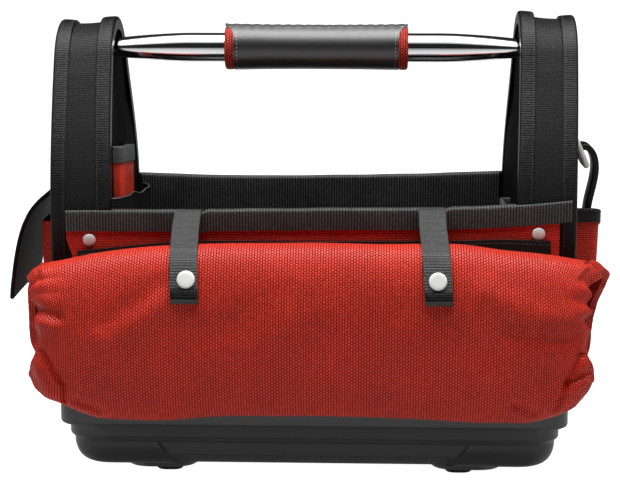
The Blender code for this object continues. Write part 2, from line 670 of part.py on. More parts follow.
# Padded hoops
def hoop_strip(side, path_foot, outer_inset, inner_inset, near_x, far_x):
    """Strip that follows the hoop's outline between two insets."""
    outline = arch_path(path_foot, outer_inset) + arch_path(path_foot, inner_inset)[::-1]
    low, high = sorted((side * near_x, side * far_x))
    return prism(outline, "X", low, high)


def hoop_binding(side, edge_x, inward):
    """Folded binding over one edge of a hoop: a wide leg on the gusset, a leg on the panel."""
    top = -TOUCH - BINDING_THICKNESS
    leg_x = edge_x + inward * BINDING_LEG_THICKNESS
    wide_x = edge_x + inward * BINDING_WIDTH
    section = ((top, edge_x), (top, wide_x), (-TOUCH, wide_x), (-TOUCH, leg_x),
               (BINDING_LEG_WIDTH, leg_x), (BINDING_LEG_WIDTH, edge_x))
    paths = [arch_path(OVER_LIP_Z, inset) for inset, x in section]
    rings = []
    for index in range(len(paths[0])):
        rings.append([(side * x, *path[index]) for path, (inset, x) in zip(paths, section)])
    return loft(rings)


def tube_hole(side, margin):
    """Oval drill for the pressed tube where it goes through an inner panel."""
    height = tube_half_height(INNER_PANEL_X) + margin
    width = tube_half_width(tube_half_height(INNER_PANEL_X)) + margin
    outline = []
    for step in range(TUBE_SIDES):
        angle = TURN * (step + 0.5) / TUBE_SIDES
        outline.append((width * math.cos(angle), TUBE_Z + height * math.sin(angle)))
    low, high = sorted((side * (INNER_PANEL_X - OVERRUN), side * (INNER_PANEL_X + OVERRUN)))
    return prism(outline, "X", low, high)


def make_hoop(side, name):
    gusset_under = GUSSET_THICKNESS + TOUCH
    bar_under = gusset_under + FRAME_BAR_THICKNESS + TOUCH
    core_near = INNER_PANEL_X + HOOP_PANEL_THICKNESS + TOUCH
    core_far = OUTER_PANEL_X - HOOP_PANEL_THICKNESS - TOUCH
    bar_x = (HOOP_INNER_X + HOOP_OUTER_X) / 2

    gusset = make_object(name + "_gusset",
                         hoop_strip(side, WALL_FOOT_Z, 0.0, GUSSET_THICKNESS, INNER_PANEL_X, OUTER_PANEL_X),
                         "fabric_black", smooth=True)
    bar = make_object(name + "_frame_arch",
                      hoop_strip(side, WALL_FOOT_Z, gusset_under, gusset_under + FRAME_BAR_THICKNESS,
                                 bar_x - FRAME_BAR_WIDTH / 2, bar_x + FRAME_BAR_WIDTH / 2),
                      "steel_dark", smooth=True)
    for wall_side in (-1, 1):
        for target in (gusset, bar):
            cut(target, rod(RIVET_SHANK_RADIUS + SHANK_CLEARANCE, BODY_HALF_Y / 2, 10,
                            (side * RIVET_X, wall_side * BODY_HALF_Y, RIVET_Z), (0.0, 1.0, 0.0)))

    make_inner_panel(side, name, gusset_under)
    low, high = sorted((side * (OUTER_PANEL_X - HOOP_PANEL_THICKNESS), side * OUTER_PANEL_X))
    make_object(name + "_outer_panel", prism(arch_path(WALL_FOOT_Z, gusset_under), "X", low, high),
                "fabric_black")
    make_object(name + "_inner_binding", hoop_binding(side, HOOP_INNER_X, 1), "webbing_black", smooth=True)
    make_object(name + "_outer_binding", hoop_binding(side, HOOP_OUTER_X, -1), "webbing_black", smooth=True)

    low, high = sorted((side * core_near, side * core_far))
    core = make_object(name + "_foam_core", prism(arch_path(WALL_FOOT_Z, bar_under), "X", low, high),
                       "foam_grey")
    slot_far = TUBE_END_X + BRACKET_END_GAP + BRACKET_THICKNESS + TOUCH
    xs = sorted((side * (core_near - OVERRUN), side * slot_far))
    half = tube_half_width(TUBE_FLAT_HALF_HEIGHT) + CORE_SLOT_MARGIN
    bottom_z = TUBE_Z - TUBE_RADIUS - BOLT_HEAD_HEIGHT - CORE_SLOT_MARGIN
    cut(core, slab(xs, (-half, half), (bottom_z, ARCH_TOP_Z)))
    make_bracket(side, name, bar_under)
    make_handle_bolt(side, name)


def make_inner_panel(side, name, inset):
    """Inner panel: arch above the ledge, with a tongue that reaches down to the board."""
    half_x, half_y = board_half_sizes()
    path = arch_path(WALL_FOOT_Z, inset)
    foot_z = BOARD_TOP_Z + TOUCH
    outline = path + [(half_y, WALL_FOOT_Z), (half_y, foot_z), (-half_y, foot_z), (-half_y, WALL_FOOT_Z)]
    low, high = sorted((side * INNER_PANEL_X, side * (INNER_PANEL_X + HOOP_PANEL_THICKNESS)))
    panel = make_object(name + "_inner_panel", prism(outline, "X", low, high), "lining_black")
    cut(panel, tube_hole(side, SHANK_CLEARANCE))


def make_bracket(side, name, bar_under):
    """C bracket welded under the steel arch; its lower leg carries the pressed tube end."""
    crown = ARCH_RADIUS - bar_under
    top_z = ARCH_TOP_Z - ARCH_RADIUS + math.sqrt(crown ** 2 - BRACKET_HALF_WIDTH ** 2) - TOUCH
    leg_top_z = TUBE_Z - TUBE_FLAT_HALF_HEIGHT - TOUCH
    outer_x = TUBE_END_X + BRACKET_END_GAP + BRACKET_THICKNESS
    thick = BRACKET_THICKNESS
    outline = ((BRACKET_INNER_X, leg_top_z - thick), (outer_x, leg_top_z - thick), (outer_x, top_z),
               (BRACKET_INNER_X, top_z), (BRACKET_INNER_X, top_z - thick), (outer_x - thick, top_z - thick),
               (outer_x - thick, leg_top_z), (BRACKET_INNER_X, leg_top_z))
    outline = [(side * x, z) for x, z in outline]
    bracket = make_object(name + "_handle_bracket",
                          prism(outline, "Y", -BRACKET_HALF_WIDTH, BRACKET_HALF_WIDTH), "steel_dark")
    cut(bracket, rod(BOLT_RADIUS + SHANK_CLEARANCE, DRILL_LENGTH, 12,
                     (side * BOLT_X, 0.0, leg_top_z), (0.0, 0.0, 1.0)))


def make_handle_bolt(side, name):
    """Bolt up through the bracket's leg and the tube end, with its nut on top."""
    leg_under = TUBE_Z - TUBE_FLAT_HALF_HEIGHT - TOUCH - BRACKET_THICKNESS
    tube_top = TUBE_Z + TUBE_FLAT_HALF_HEIGHT
    head = BOLT_HEAD_RADIUS
    profile = ((head, leg_under - TOUCH - BOLT_HEAD_HEIGHT), (head, leg_under - TOUCH),
               (BOLT_RADIUS, leg_under - TOUCH), (BOLT_RADIUS, tube_top + TOUCH), (head, tube_top + TOUCH),
               (head, tube_top + TOUCH + BOLT_HEAD_HEIGHT))
    make_object(name + "_handle_bolt", turned(profile, 12, (side * BOLT_X, 0.0, 0.0), (0.0, 0.0, 1.0)),
                "steel_dark")


# Handle and grip
def tube_half_height(x):
    """Half height of the tube: round in the middle, pressed flatter towards its ends."""
    flat_from = TUBE_END_X - TUBE_FLAT_LENGTH
    if x <= TUBE_ROUND_HALF:
        return TUBE_RADIUS
    if x >= flat_from:
        return TUBE_FLAT_HALF_HEIGHT
    if x <= INNER_PANEL_X:
        t = (x - TUBE_ROUND_HALF) / (INNER_PANEL_X - TUBE_ROUND_HALF)
        return TUBE_RADIUS + (TUBE_PANEL_HALF_HEIGHT - TUBE_RADIUS) * t * t * (3 - 2 * t)
    t = (x - INNER_PANEL_X) / (flat_from - INNER_PANEL_X)
    return TUBE_PANEL_HALF_HEIGHT + (TUBE_FLAT_HALF_HEIGHT - TUBE_PANEL_HALF_HEIGHT) * t


def tube_half_width(half_height):
    """Half width that keeps the tube's girth as it is pressed flat."""
    return math.sqrt(2 * TUBE_RADIUS ** 2 - half_height ** 2)


def tube_ring(x, wall):
    half_height = tube_half_height(abs(x))
    half_width = tube_half_width(half_height)
    ring = []
    for step in range(TUBE_SIDES):
        angle = TURN * (step + 0.5) / TUBE_SIDES
        ring.append((x, (half_width - wall) * math.cos(angle),
                     TUBE_Z + (half_height - wall) * math.sin(angle)))
    return ring


def make_handle_tube():
    places = [TUBE_ROUND_HALF + (INNER_PANEL_X - TUBE_ROUND_HALF) * step / TUBE_PRESS_STEPS
              for step in range(TUBE_PRESS_STEPS + 1)]
    places += [TUBE_END_X - TUBE_FLAT_LENGTH, TUBE_END_X]
    places = [-x for x in reversed(places)] + places
    outside = [tube_ring(x, 0.0) for x in places]
    inside = [tube_ring(x, TUBE_WALL) for x in reversed(places)]
    tube = make_object("handle_tube", loft(outside + inside, capped=False), "tube_chrome", smooth=True)
    for side in (-1, 1):
        cut(tube, rod(BOLT_RADIUS + SHANK_CLEARANCE, 4 * TUBE_RADIUS, 12,
                      (side * BOLT_X, 0.0, TUBE_Z), (0.0, 0.0, 1.0)))


def sleeve(inner, outer, half_length):
    """Round sleeve about the handle."""
    rings = []
    for radius, x in ((inner, -half_length), (outer, -half_length), (outer, half_length),
                      (inner, half_length)):
        ring = []
        for step in range(GRIP_SIDES):
            angle = TURN * (step + 0.5) / GRIP_SIDES
            ring.append((x, radius * math.cos(angle), TUBE_Z + radius * math.sin(angle)))
        rings.append(ring)
    return loft(rings, capped=False)


def facet_radius(radius, sides):
    """Corner radius of a many-sided ring whose flats still clear a circle of this radius."""
    return radius / math.cos(math.pi / sides)


def make_grip():
    foam_inner = facet_radius(TUBE_RADIUS + TOUCH, GRIP_SIDES)
    foam_outer = foam_inner + GRIP_FOAM_THICKNESS
    make_object("grip_foam", sleeve(foam_inner, foam_outer, GRIP_HALF_LENGTH), "foam_grey", smooth=True)
    liner_inner = foam_outer + TOUCH
    liner_outer = liner_inner + GRIP_LINER_THICKNESS
    make_object("grip_liner", sleeve(liner_inner, liner_outer, GRIP_HALF_LENGTH), "mesh_red", smooth=True)
    make_grip_leather(facet_radius(liner_outer + TOUCH, GRIP_SIDES))


def make_grip_leather(inner):
    """Leather wrapped from the seam on top, round and back, its corners drawn out at the seam."""
    outer = inner + GRIP_LEATHER_THICKNESS
    gap = GRIP_SEAM_GAP / outer
    rings = []
    for end in (-1, 1):
        ring_out = []
        ring_in = []
        for step in range(GRIP_SIDES + 1):
            angle = TURN / 4 + gap / 2 + (TURN - gap) * step / GRIP_SIDES
            closeness = abs(step - GRIP_SIDES / 2) / (GRIP_SIDES / 2)
            flare = max(0.0, (closeness - LEATHER_FLARE_SHARE) / (1 - LEATHER_FLARE_SHARE))
            reach = GRIP_HALF_LENGTH - GRIP_MARGIN * (1 - flare * flare)
            for radius, ring in ((outer, ring_out), (inner, ring_in)):
                ring.append((end * reach, radius * math.cos(angle), TUBE_Z + radius * math.sin(angle)))
        rings.append(ring_out + ring_in[::-1])
    make_object("grip_leather", loft(rings), "leather_black", smooth=True)


# Rolled cover
def roll_section(station, x, one_angle=None):
    """Ring of the rolled cover at one station, or one point of it for a given angle."""
    place, drop, rise, thin, pleat = station
    height = ROLL_TOP_Z - ROLL_BOTTOM_Z
    top = ROLL_TOP_Z - drop * height
    bottom = ROLL_BOTTOM_Z + rise * height
    depth = ROLL_DEPTH * (1 - thin)
    middle_z = (top + bottom) / 2
    half_z = (top - bottom) / 2
    back = -ROLL_BACK_Y
    if place >= ROLL_WRAP_START_SHARE:
        back += ROLL_WRAP
        depth += ROLL_WRAP
    power = ROLL_ROUNDNESS_SHARE
    angles = [TURN * (step + 0.5) / ROLL_SIDES for step in range(ROLL_SIDES)]
    if one_angle is not None:
        angles = [one_angle]
    ring = []
    for angle in angles:
        cosine = math.cos(angle)
        sine = math.sin(angle)
        swell = pleat * ROLL_PLEAT_DEPTH * (math.cos(ROLL_PLEATS * angle) - 1) / 2
        along = math.copysign(abs(cosine) ** power, cosine) * (depth / 2 + swell)
        up = math.copysign(abs(sine) ** power, sine) * (half_z + swell)
        ring.append((x, back - depth / 2 - along, middle_z + up))
    return ring


def make_cover_roll():
    rings = []
    clear_x = (LIP_INNER_X + LIP_WALL + ROLL_WRAP_CLEARANCE + ROLL_OFFSET_X) / ROLL_HALF_LENGTH
    for end in (-1, 1):
        half = []
        for station in ROLL_STATION_SHARES:
            share = station[0]
            if share == ROLL_WRAP_START_SHARE:
                share = max(share, clear_x)
            half.append(roll_section(station, ROLL_OFFSET_X + end * ROLL_HALF_LENGTH * share))
        last = half[-1]
        middle = sum((Vector(point) for point in last), Vector()) / len(last)
        sink = Vector((-end * ROLL_HOLLOW, 0.0, 0.0))
        half.append([tuple(middle + (Vector(point) - middle) * ROLL_HOLLOW_SHARE + sink) for point in last])
        rings.append(half)
    left, right = rings
    make_object("cover_roll", loft(left[::-1] + right[1:]), "cover_red", smooth=True)


# Snap straps
def roll_point(angle, lift):
    """Point of the roll's outline near the straps, lifted off its surface."""
    station = ROLL_STATION_SHARES[1]
    step = TURN / SLOPE_STEPS
    x, y, z = roll_section(station, 0.0, angle)[0]
    x, y_next, z_next = roll_section(station, 0.0, angle + step)[0]
    along = Vector((y_next - y, z_next - z)).normalized()
    outward = Vector((-along.y, along.x))
    return (y + outward.x * lift, z + outward.y * lift)


def strap_hinge():
    return (-BODY_HALF_Y - STRAP_HINGE_IN, RIM_Z + STRAP_HINGE_RISE)


def strap_path():
    """Centre line of a strap from its hinge over the rim and down the front of the roll."""
    hinge_y, hinge_z = strap_hinge()
    front_y = -RIM_OUTER_Y - STRAP_RIM_CLEARANCE - STRAP_THICKNESS / 2
    points = [(hinge_y, hinge_z), (front_y, RIM_Z), (front_y - TOUCH, RIM_Z - STRAP_STRAIGHT)]
    low_angle = 0.0
    high_angle = TURN / 4
    for attempt in range(SEARCH_STEPS):
        angle = (low_angle + high_angle) / 2
        if roll_point(angle, STRAP_LIFT_END)[1] > STRAP_END_Z:
            high_angle = angle
        else:
            low_angle = angle
    for step in range(STRAP_STEPS + 1):
        share = step / STRAP_STEPS
        angle = STRAP_START_ANGLE + (high_angle - STRAP_START_ANGLE) * share
        lift = STRAP_LIFT_START + (STRAP_LIFT_END - STRAP_LIFT_START) * share + STRAP_THICKNESS / 2
        points.append(roll_point(angle, lift))
    return points


def snap_frame():
    """Place on the strap's centre line where the snap sits, and the direction outwards."""
    path = strap_path()
    for upper, lower in zip(path, path[1:]):
        if upper[1] >= SNAP_Z >= lower[1]:
            share = (upper[1] - SNAP_Z) / (upper[1] - lower[1])
            place = Vector(upper).lerp(Vector(lower), share)
            along = (Vector(lower) - Vector(upper)).normalized()
            outward = Vector((along.y, -along.x))
            return place, outward


def make_strap(side, name):
    path = strap_path()
    half = STRAP_THICKNESS / 2
    under = offset_path(path, half)
    over = offset_path(path, -half)
    end = Vector(path[-1])
    back = (Vector(path[-2]) - end).normalized()
    outward = Vector((back.y, -back.x))
    if outward.x > 0:
        outward = -outward
    hem_start = end + back * STRAP_HEM_LENGTH + outward * half
    over = over[:-1] + [tuple(hem_start), tuple(hem_start + outward * STRAP_HEM_EXTRA),
                        tuple(end + outward * (half + STRAP_HEM_EXTRA))]
    over = [point for point in over[:-3] if point[1] > hem_start.y] + over[-3:]
    xs = (side * STRAP_X - STRAP_WIDTH / 2, side * STRAP_X + STRAP_WIDTH / 2)
    hinge_y, hinge_z = strap_hinge()
    pivot = (side * STRAP_X, hinge_y, hinge_z)
    strap = make_object(name + "_strap", prism(under + over[::-1], "X", *xs), "webbing_black", pivot)
    place, outward = snap_frame()
    centre = (side * STRAP_X, place.x, place.y)
    direction = (0.0, outward.x, outward.y)
    cut(strap, rod(SNAP_SHANK_RADIUS + SHANK_CLEARANCE, DRILL_LENGTH, 12, centre, direction))
    face = half + TOUCH
    socket = half + SNAP_SOCKET_GAP
    profile = [(SNAP_SOCKET_RADIUS, -socket - SNAP_SOCKET_HEIGHT), (SNAP_SOCKET_RADIUS, -socket),
               (SNAP_SHANK_RADIUS, -socket), (SNAP_SHANK_RADIUS, face)]
    profile += dome(SNAP_RADIUS, face, SNAP_HEIGHT, SNAP_DOME_SHARES)
    make_object(name + "_snap_cap", turned(profile, SNAP_SIDES, centre, direction), "steel_satin",
                pivot, smooth=True)
    make_strap_tail(side, name)
    make_snap_stud(side, name, place, outward)


def make_snap_stud(side, name, place, outward):
    """Low stud on the roll, facing the socket under the strap."""
    section = [Vector(roll_point(TURN / 4 * step / SEAT_STEPS, 0.0)) for step in range(1, SEAT_STEPS)]
    seat = min(section, key=lambda point: abs((point - place).cross(outward)))
    seat_index = section.index(seat)
    along = (section[seat_index + 1] - section[seat_index - 1]).normalized()
    normal = Vector((-along.y, along.x))
    profile = dome(STUD_RADIUS, STUD_GAP, STUD_HEIGHT, STUD_SHARES)
    stud = turned(profile, SNAP_SIDES, (side * STRAP_X, seat.x, seat.y), (0.0, normal.x, normal.y))
    make_object(name + "_snap_stud", stud, "steel_satin")


def make_strap_tail(side, name):
    """Fixed part of the strap: over the rim and down inside, where it is sewn."""
    hinge_y, hinge_z = strap_hinge()
    start_y = hinge_y + STRAP_TAIL_GAP
    top_z = RIM_Z + TOUCH
    inner_y = -(RIM_INNER_LEG_Y - RIM_WEBBING_THICKNESS - TOUCH)
    thick = STRAP_THICKNESS
    foot_z = RIM_Z - STRAP_TAIL_LENGTH
    outline = ((start_y, top_z), (start_y, top_z + thick), (inner_y + thick / 2, top_z + thick),
               (inner_y + thick, top_z + thick / 2), (inner_y + thick, foot_z), (inner_y, foot_z),
               (inner_y, top_z))
    xs = (side * STRAP_X - STRAP_WIDTH / 2, side * STRAP_X + STRAP_WIDTH / 2)
    make_object(name + "_strap_tail", prism(outline, "X", *xs), "webbing_black")


# Side flap, end pockets, tool loop and ring
def make_left_flap():
    hinge_x = -(HOOP_OUTER_X + FLAP_HINGE_OUT)
    path = [(hinge_x - FLAP_REACH * out, FLAP_HINGE_Z - FLAP_DROP * down) for out, down in FLAP_SHARES]
    outline = band(path, FLAP_THICKNESS, 0.0)
    make_object("left_flap", prism(outline, "Y", -FLAP_HALF_WIDTH, FLAP_HALF_WIDTH), "fabric_black",
                (hinge_x, 0.0, FLAP_HINGE_Z), smooth=True)


def pocket_plan(reach, half_width, corner, steps=3):
    """Plan of a pocket from a wall: distance out and place across, outer corners rounded."""
    plan = [(0.0, -half_width)]
    for end in (-1, 1):
        for step in range(steps + 1):
            angle = TURN / 4 * (step / steps if end > 0 else step / steps - 1)
            plan.append((reach - corner + corner * math.cos(angle),
                         end * (half_width - corner) + corner * math.sin(angle)))
    plan.append((0.0, half_width))
    return plan


def drop_at(y, half_y, back_drop):
    """How far a mouth that slopes down to the back lies below its front corner."""
    return back_drop * (y + half_y) / (2 * half_y)


def make_end_pocket(side, name, reach, half_y, top_z, foot_share, back_drop=0.0):
    """Pocket sewn to the outer panel, open on top and towards the panel."""
    wall_x = OUTER_PANEL_X + TOUCH
    bottom_z = LIP_TOP_Z + PATCH_BOTTOM_GAP
    belly_z = bottom_z + (top_z - bottom_z) * POCKET_BELLY_RISE_SHARE
    belly_share = foot_share + (1 - foot_share) * POCKET_BELLY_SHARE
    stages = ((foot_share, bottom_z, 0.0), (belly_share, belly_z, 0.0), (1.0, top_z, back_drop))
    outer = []
    for share, z, drop in stages:
        plan = pocket_plan(reach * share, half_y, POCKET_CORNER)
        outer.append([(side * (wall_x + x), y, z - drop_at(y, half_y, drop)) for x, y in plan])
    pocket = make_object(name, loft(outer), "panel_red", smooth=True)
    inner = []
    stages = ((foot_share, bottom_z + POCKET_WALL, 0.0), stages[1], (1.0, top_z + OVERRUN, back_drop))
    for share, z, drop in stages:
        plan = pocket_plan(reach * share - POCKET_WALL, half_y - POCKET_WALL, POCKET_CORNER - POCKET_WALL)
        plan = [(x if x > 0 else -TOUCH / 2, y) for x, y in plan]
        inner.append([(side * (wall_x + x), y, z - drop_at(y, half_y, drop)) for x, y in plan])
    cut(pocket, loft(inner))


def make_right_pocket_binding():
    wall_x = OUTER_PANEL_X + TOUCH
    path = pocket_plan(RIGHT_POCKET_REACH, RIGHT_POCKET_HALF_Y, POCKET_CORNER)
    near = offset_path(path, -TOUCH)
    far = offset_path(path, -TOUCH - POCKET_BINDING_THICKNESS)
    outline = [(wall_x + x, y) for x, y in near + far[::-1]]
    top_z = RIGHT_POCKET_TOP_Z + TOUCH
    tape = prism(outline, "Z", top_z - POCKET_BINDING_HEIGHT, top_z)
    for corner in tape.verts:
        corner.co.z -= drop_at(corner.co.y, RIGHT_POCKET_HALF_Y, RIGHT_POCKET_BACK_DROP)
    make_object("right_pocket_binding", tape, "webbing_black", smooth=True)


def make_tool_loop():
    wall_x = OUTER_PANEL_X + TOUCH
    outer = [(wall_x + LOOP_REACH * x, LOOP_SEAM_Z + LOOP_HEIGHT * z) for x, z in LOOP_OUTER_SHARES]
    foot = LOOP_REACH * LOOP_OUTER_SHARES[-1][0]
    outer = [(wall_x, LOOP_FOOT_Z)] + outer + [(wall_x + foot - LOOP_THICKNESS, LOOP_FOOT_Z)]
    y_range = (LOOP_Y - LOOP_WIDTH / 2, LOOP_Y + LOOP_WIDTH / 2)
    loop = make_object("tool_loop", prism(outer, "Y", *y_range), "webbing_black", smooth=True)
    hole = [(wall_x + LOOP_REACH * x, LOOP_SEAM_Z + LOOP_HEIGHT * z) for x, z in LOOP_HOLE_SHARES]
    cut(loop, prism(hole, "Y", y_range[0] - OVERRUN, y_range[1] + OVERRUN))


def ring_hinge_x():
    return OUTER_PANEL_X + RING_PANEL_GAP + TAB_THICKNESS + TAB_CLEARANCE + RING_BAR_RADIUS


def make_ring():
    """Four-sided steel ring with rounded corners, hung by its upper bar and leaning out."""
    corners = rounded_rectangle(RING_WIDTH / 2, RING_DROP / 2, RING_CORNER, RING_CORNER_STEPS)
    hinge = Vector((ring_hinge_x(), LOOP_Y, RING_HINGE_Z))
    down = Vector((math.sin(RING_LEAN), 0.0, -math.cos(RING_LEAN)))
    across = Vector((0.0, 1.0, 0.0))
    facing = across.cross(down)
    rings = []
    count = len(corners)
    for index, (u, v) in enumerate(corners):
        before = Vector(corners[index - 1])
        after = Vector(corners[(index + 1) % count])
        along = (after - before).normalized()
        outward_2d = Vector((along.y, -along.x))
        outward = across * outward_2d.x + down * outward_2d.y
        centre = hinge + across * u + down * (v + RING_DROP / 2)
        ring = []
        for step in range(RING_BAR_SIDES):
            angle = TURN * step / RING_BAR_SIDES
            ring.append(tuple(centre + outward * RING_BAR_RADIUS * math.cos(angle)
                              + facing * RING_BAR_RADIUS * math.sin(angle)))
        rings.append(ring)
    make_object("tool_ring", loft(rings, capped=False), "steel_satin", tuple(hinge), smooth=True)


def make_ring_tab():
    """Webbing tab folded round the ring's upper bar and sewn to the panel below it."""
    hinge_x = ring_hinge_x()
    radius = RING_BAR_RADIUS + TAB_CLEARANCE + TAB_THICKNESS / 2
    path = [(OUTER_PANEL_X + TOUCH + TAB_THICKNESS / 2, RING_HINGE_Z - TAB_DROP)]
    for step in range(TAB_BOW_STEPS + 1):
        angle = TURN / 2 - TURN * TAB_BOW_SHARE * step / TAB_BOW_STEPS
        path.append((hinge_x + radius * math.cos(angle), RING_HINGE_Z + radius * math.sin(angle)))
    outline = band(path, TAB_THICKNESS / 2, -TAB_THICKNESS / 2)
    make_object("ring_tab", prism(outline, "Y", LOOP_Y - TAB_HALF_WIDTH, LOOP_Y + TAB_HALF_WIDTH),
                "webbing_black")


# Pockets inside
def make_inner_pocket(side, name, y_range, z_range, depth, finish_name):
    """Flat pocket on an inner panel, open on top and towards the panel."""
    wall_x = INNER_PANEL_X - TOUCH
    centre = sum(y_range) / 2
    half = (y_range[1] - y_range[0]) / 2
    plan = pocket_plan(depth, half, INNER_POCKET_CORNER, 2)
    outline = [(side * (wall_x - x), centre + y) for x, y in plan]
    pocket = make_object(name, prism(outline, "Z", *z_range), finish_name)
    plan = pocket_plan(depth - INNER_POCKET_WALL, half - INNER_POCKET_WALL,
                       INNER_POCKET_CORNER - INNER_POCKET_WALL, 2)
    outline = [(side * (wall_x - (x if x > 0 else -TOUCH / 2)), centre + y) for x, y in plan]
    cut(pocket, prism(outline, "Z", z_range[0] + INNER_POCKET_WALL, z_range[1] + OVERRUN))


def low_pocket_plan(reach, half_width):
    """Plan with two bulges and a pleat between them."""
    near = [(reach * out, -half_width * across) for out, across in LOW_POCKET_PLAN_SHARES]
    far = [(x, -y) for x, y in reversed(near)]
    return near + [(reach * LOW_POCKET_PLEAT_SHARE, 0.0)] + far


def make_left_low_pocket():
    wall_x = -(INNER_PANEL_X - TOUCH - TALL_POCKET_DEPTH - TOUCH)
    half = LOW_POCKET_HALF_Y
    wall = INNER_POCKET_WALL
    stages = ((LOW_POCKET_FOOT_SHARE, LOW_POCKET_BOTTOM_Z), (1.0, LOW_POCKET_TOP_Z))
    rings = []
    for share, z in stages:
        rings.append([(wall_x + x, y, z) for x, y in low_pocket_plan(LOW_POCKET_REACH * share, half)])
    pocket = make_object("left_low_pocket", loft(rings), "fabric_black")
    rings = []
    stages = ((LOW_POCKET_FOOT_SHARE, LOW_POCKET_BOTTOM_Z + wall), (1.0, LOW_POCKET_TOP_Z + OVERRUN))
    for share, z in stages:
        plan = low_pocket_plan(LOW_POCKET_REACH * share, half)
        inset = offset_path(plan, wall, closed=True)
        rings.append([(wall_x + x, y, z) for x, y in inset])
    cut(pocket, loft(rings))


def build():
    clear_scene()
    make_base_tray()
    make_runner(-1, "left_runner")
    make_runner(1, "right_runner")
    make_base_board()
    for side, name in ((-1, "front"), (1, "back")):
        make_wall(side, name)
    for side, name in ((-1, "left"), (1, "right")):
        make_hoop(side, name)
        make_rivet(side, -1, name + "_front_rivet")
        make_rivet(side, 1, name + "_back_rivet")
        make_strap(side, name)
    make_handle_tube()
    make_grip()
    make_cover_roll()
    make_left_flap()
    make_end_pocket(-1, "left_end_pocket", LEFT_POCKET_REACH, LEFT_POCKET_HALF_Y, LEFT_POCKET_TOP_Z, 1.0)
    make_end_pocket(1, "right_end_pocket", RIGHT_POCKET_REACH, RIGHT_POCKET_HALF_Y, RIGHT_POCKET_TOP_Z,
                    RIGHT_POCKET_FOOT_SHARE, RIGHT_POCKET_BACK_DROP)
    make_right_pocket_binding()
    make_tool_loop()
    make_ring()
    make_ring_tab()
    make_inner_pocket(-1, "left_tall_pocket", (TALL_POCKET_FRONT_Y, TALL_POCKET_BACK_Y),
                      (TALL_POCKET_BOTTOM_Z, TALL_POCKET_TOP_Z), TALL_POCKET_DEPTH, "panel_red")
    make_left_low_pocket()
    make_inner_pocket(1, "right_inner_pocket", (RIGHT_INNER_FRONT_Y, RIGHT_INNER_BACK_Y),
                      (RIGHT_INNER_BOTTOM_Z, RIGHT_INNER_TOP_Z), RIGHT_INNER_DEPTH, "fabric_black")


build()
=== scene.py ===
"""Looks of the open soft tool bag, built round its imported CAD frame.

Places are in millimetres from the middle of the bag's body, X to the right, Y to the back and Z up
from the floor. The function metres() turns them into the frame's own metres.
"""
import json
import math

import bpy
import numpy as np
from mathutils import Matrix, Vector


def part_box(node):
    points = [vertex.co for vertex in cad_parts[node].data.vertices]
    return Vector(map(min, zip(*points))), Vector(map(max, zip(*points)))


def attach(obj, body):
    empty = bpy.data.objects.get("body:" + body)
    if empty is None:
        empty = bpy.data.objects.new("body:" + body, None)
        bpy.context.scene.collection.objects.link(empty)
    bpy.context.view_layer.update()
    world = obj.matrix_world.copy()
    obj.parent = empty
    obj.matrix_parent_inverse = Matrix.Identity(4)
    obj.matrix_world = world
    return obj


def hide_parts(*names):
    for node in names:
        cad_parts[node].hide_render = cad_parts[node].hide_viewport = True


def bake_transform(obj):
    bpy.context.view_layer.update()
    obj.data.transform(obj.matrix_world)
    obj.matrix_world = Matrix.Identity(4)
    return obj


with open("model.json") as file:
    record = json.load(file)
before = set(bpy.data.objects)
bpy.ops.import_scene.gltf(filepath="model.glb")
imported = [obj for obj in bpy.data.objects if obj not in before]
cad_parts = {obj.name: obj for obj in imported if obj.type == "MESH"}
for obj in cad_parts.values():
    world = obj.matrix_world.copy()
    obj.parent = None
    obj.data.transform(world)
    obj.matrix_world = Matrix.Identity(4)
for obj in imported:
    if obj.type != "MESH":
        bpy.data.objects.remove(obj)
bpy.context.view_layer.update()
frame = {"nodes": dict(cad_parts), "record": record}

MM = 0.001
TURN = 2 * math.pi
# Direction in X of each side of the bag
SIDES = ((-1, "left"), (1, "right"))
TRAY_LOW, TRAY_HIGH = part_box("base_tray")
LIP_TOP_Z = 70.4
BAG_MIDDLE = np.array([(TRAY_LOW.x + TRAY_HIGH.x) / 2, (TRAY_LOW.y + TRAY_HIGH.y) / 2,
                       TRAY_HIGH.z - LIP_TOP_Z * MM])

# Camera at the photograph's viewing angle, in metres and degrees
CAMERA_PLACE = (0.0589, -1.5368, 0.5006)
CAMERA_LENS_MM = 98.2
CAMERA_PITCH = 10.724
CAMERA_HEADING = 2.093

# Base: skid platforms and the runners under them
SKID_X = 140.7
RUNNER_X = 133.7

# Body walls
WALL_Y = 102.0
WALL_FOOT_Z = 49.0
WALL_TOP_Z = 244.2
WALL_RIGHT_X = 217.5
# The wall's left half is wider above this height than below it
WALL_FLARE_Z = (204.0, 219.0)
WALL_LEFT_X = (214.6, 219.5)
LINING_TOP_Z = 228.0
RIM_Z = 245.8
RIM_HEIGHT = 19.2
RIM_THICKNESS = 1.6
BETWEEN_HOOPS_X = 178.5
LINING_Y = 95.9
POCKET_FOOT_Z = 73.4
PATCH_HALF = 210.0
PATCH_Y = 102.6
PATCH_SWELL = 5.6

# Hoops: the outline of a gusset, straight flanks bending into a round crown
HOOP_INNER_X = 180.3
HOOP_OUTER_X = 231.5
INNER_FACE_X = 181.9
OUTER_FACE_X = 229.9
HANDLE_HOLE = (15.5, 9.5)
GUSSET_Y = 97.5
ARCH_TOP_Z = 404.2
ARCH_RADIUS = 52.0
ARCH_SPRING_Z = 235.0
SPRING_PULL = 45.0
CROWN_PULL = 50.0
CROWN_ANGLE = math.radians(27)
BINDING_FOOT_Z = 70.7
BINDING_WIDTH = 14.0
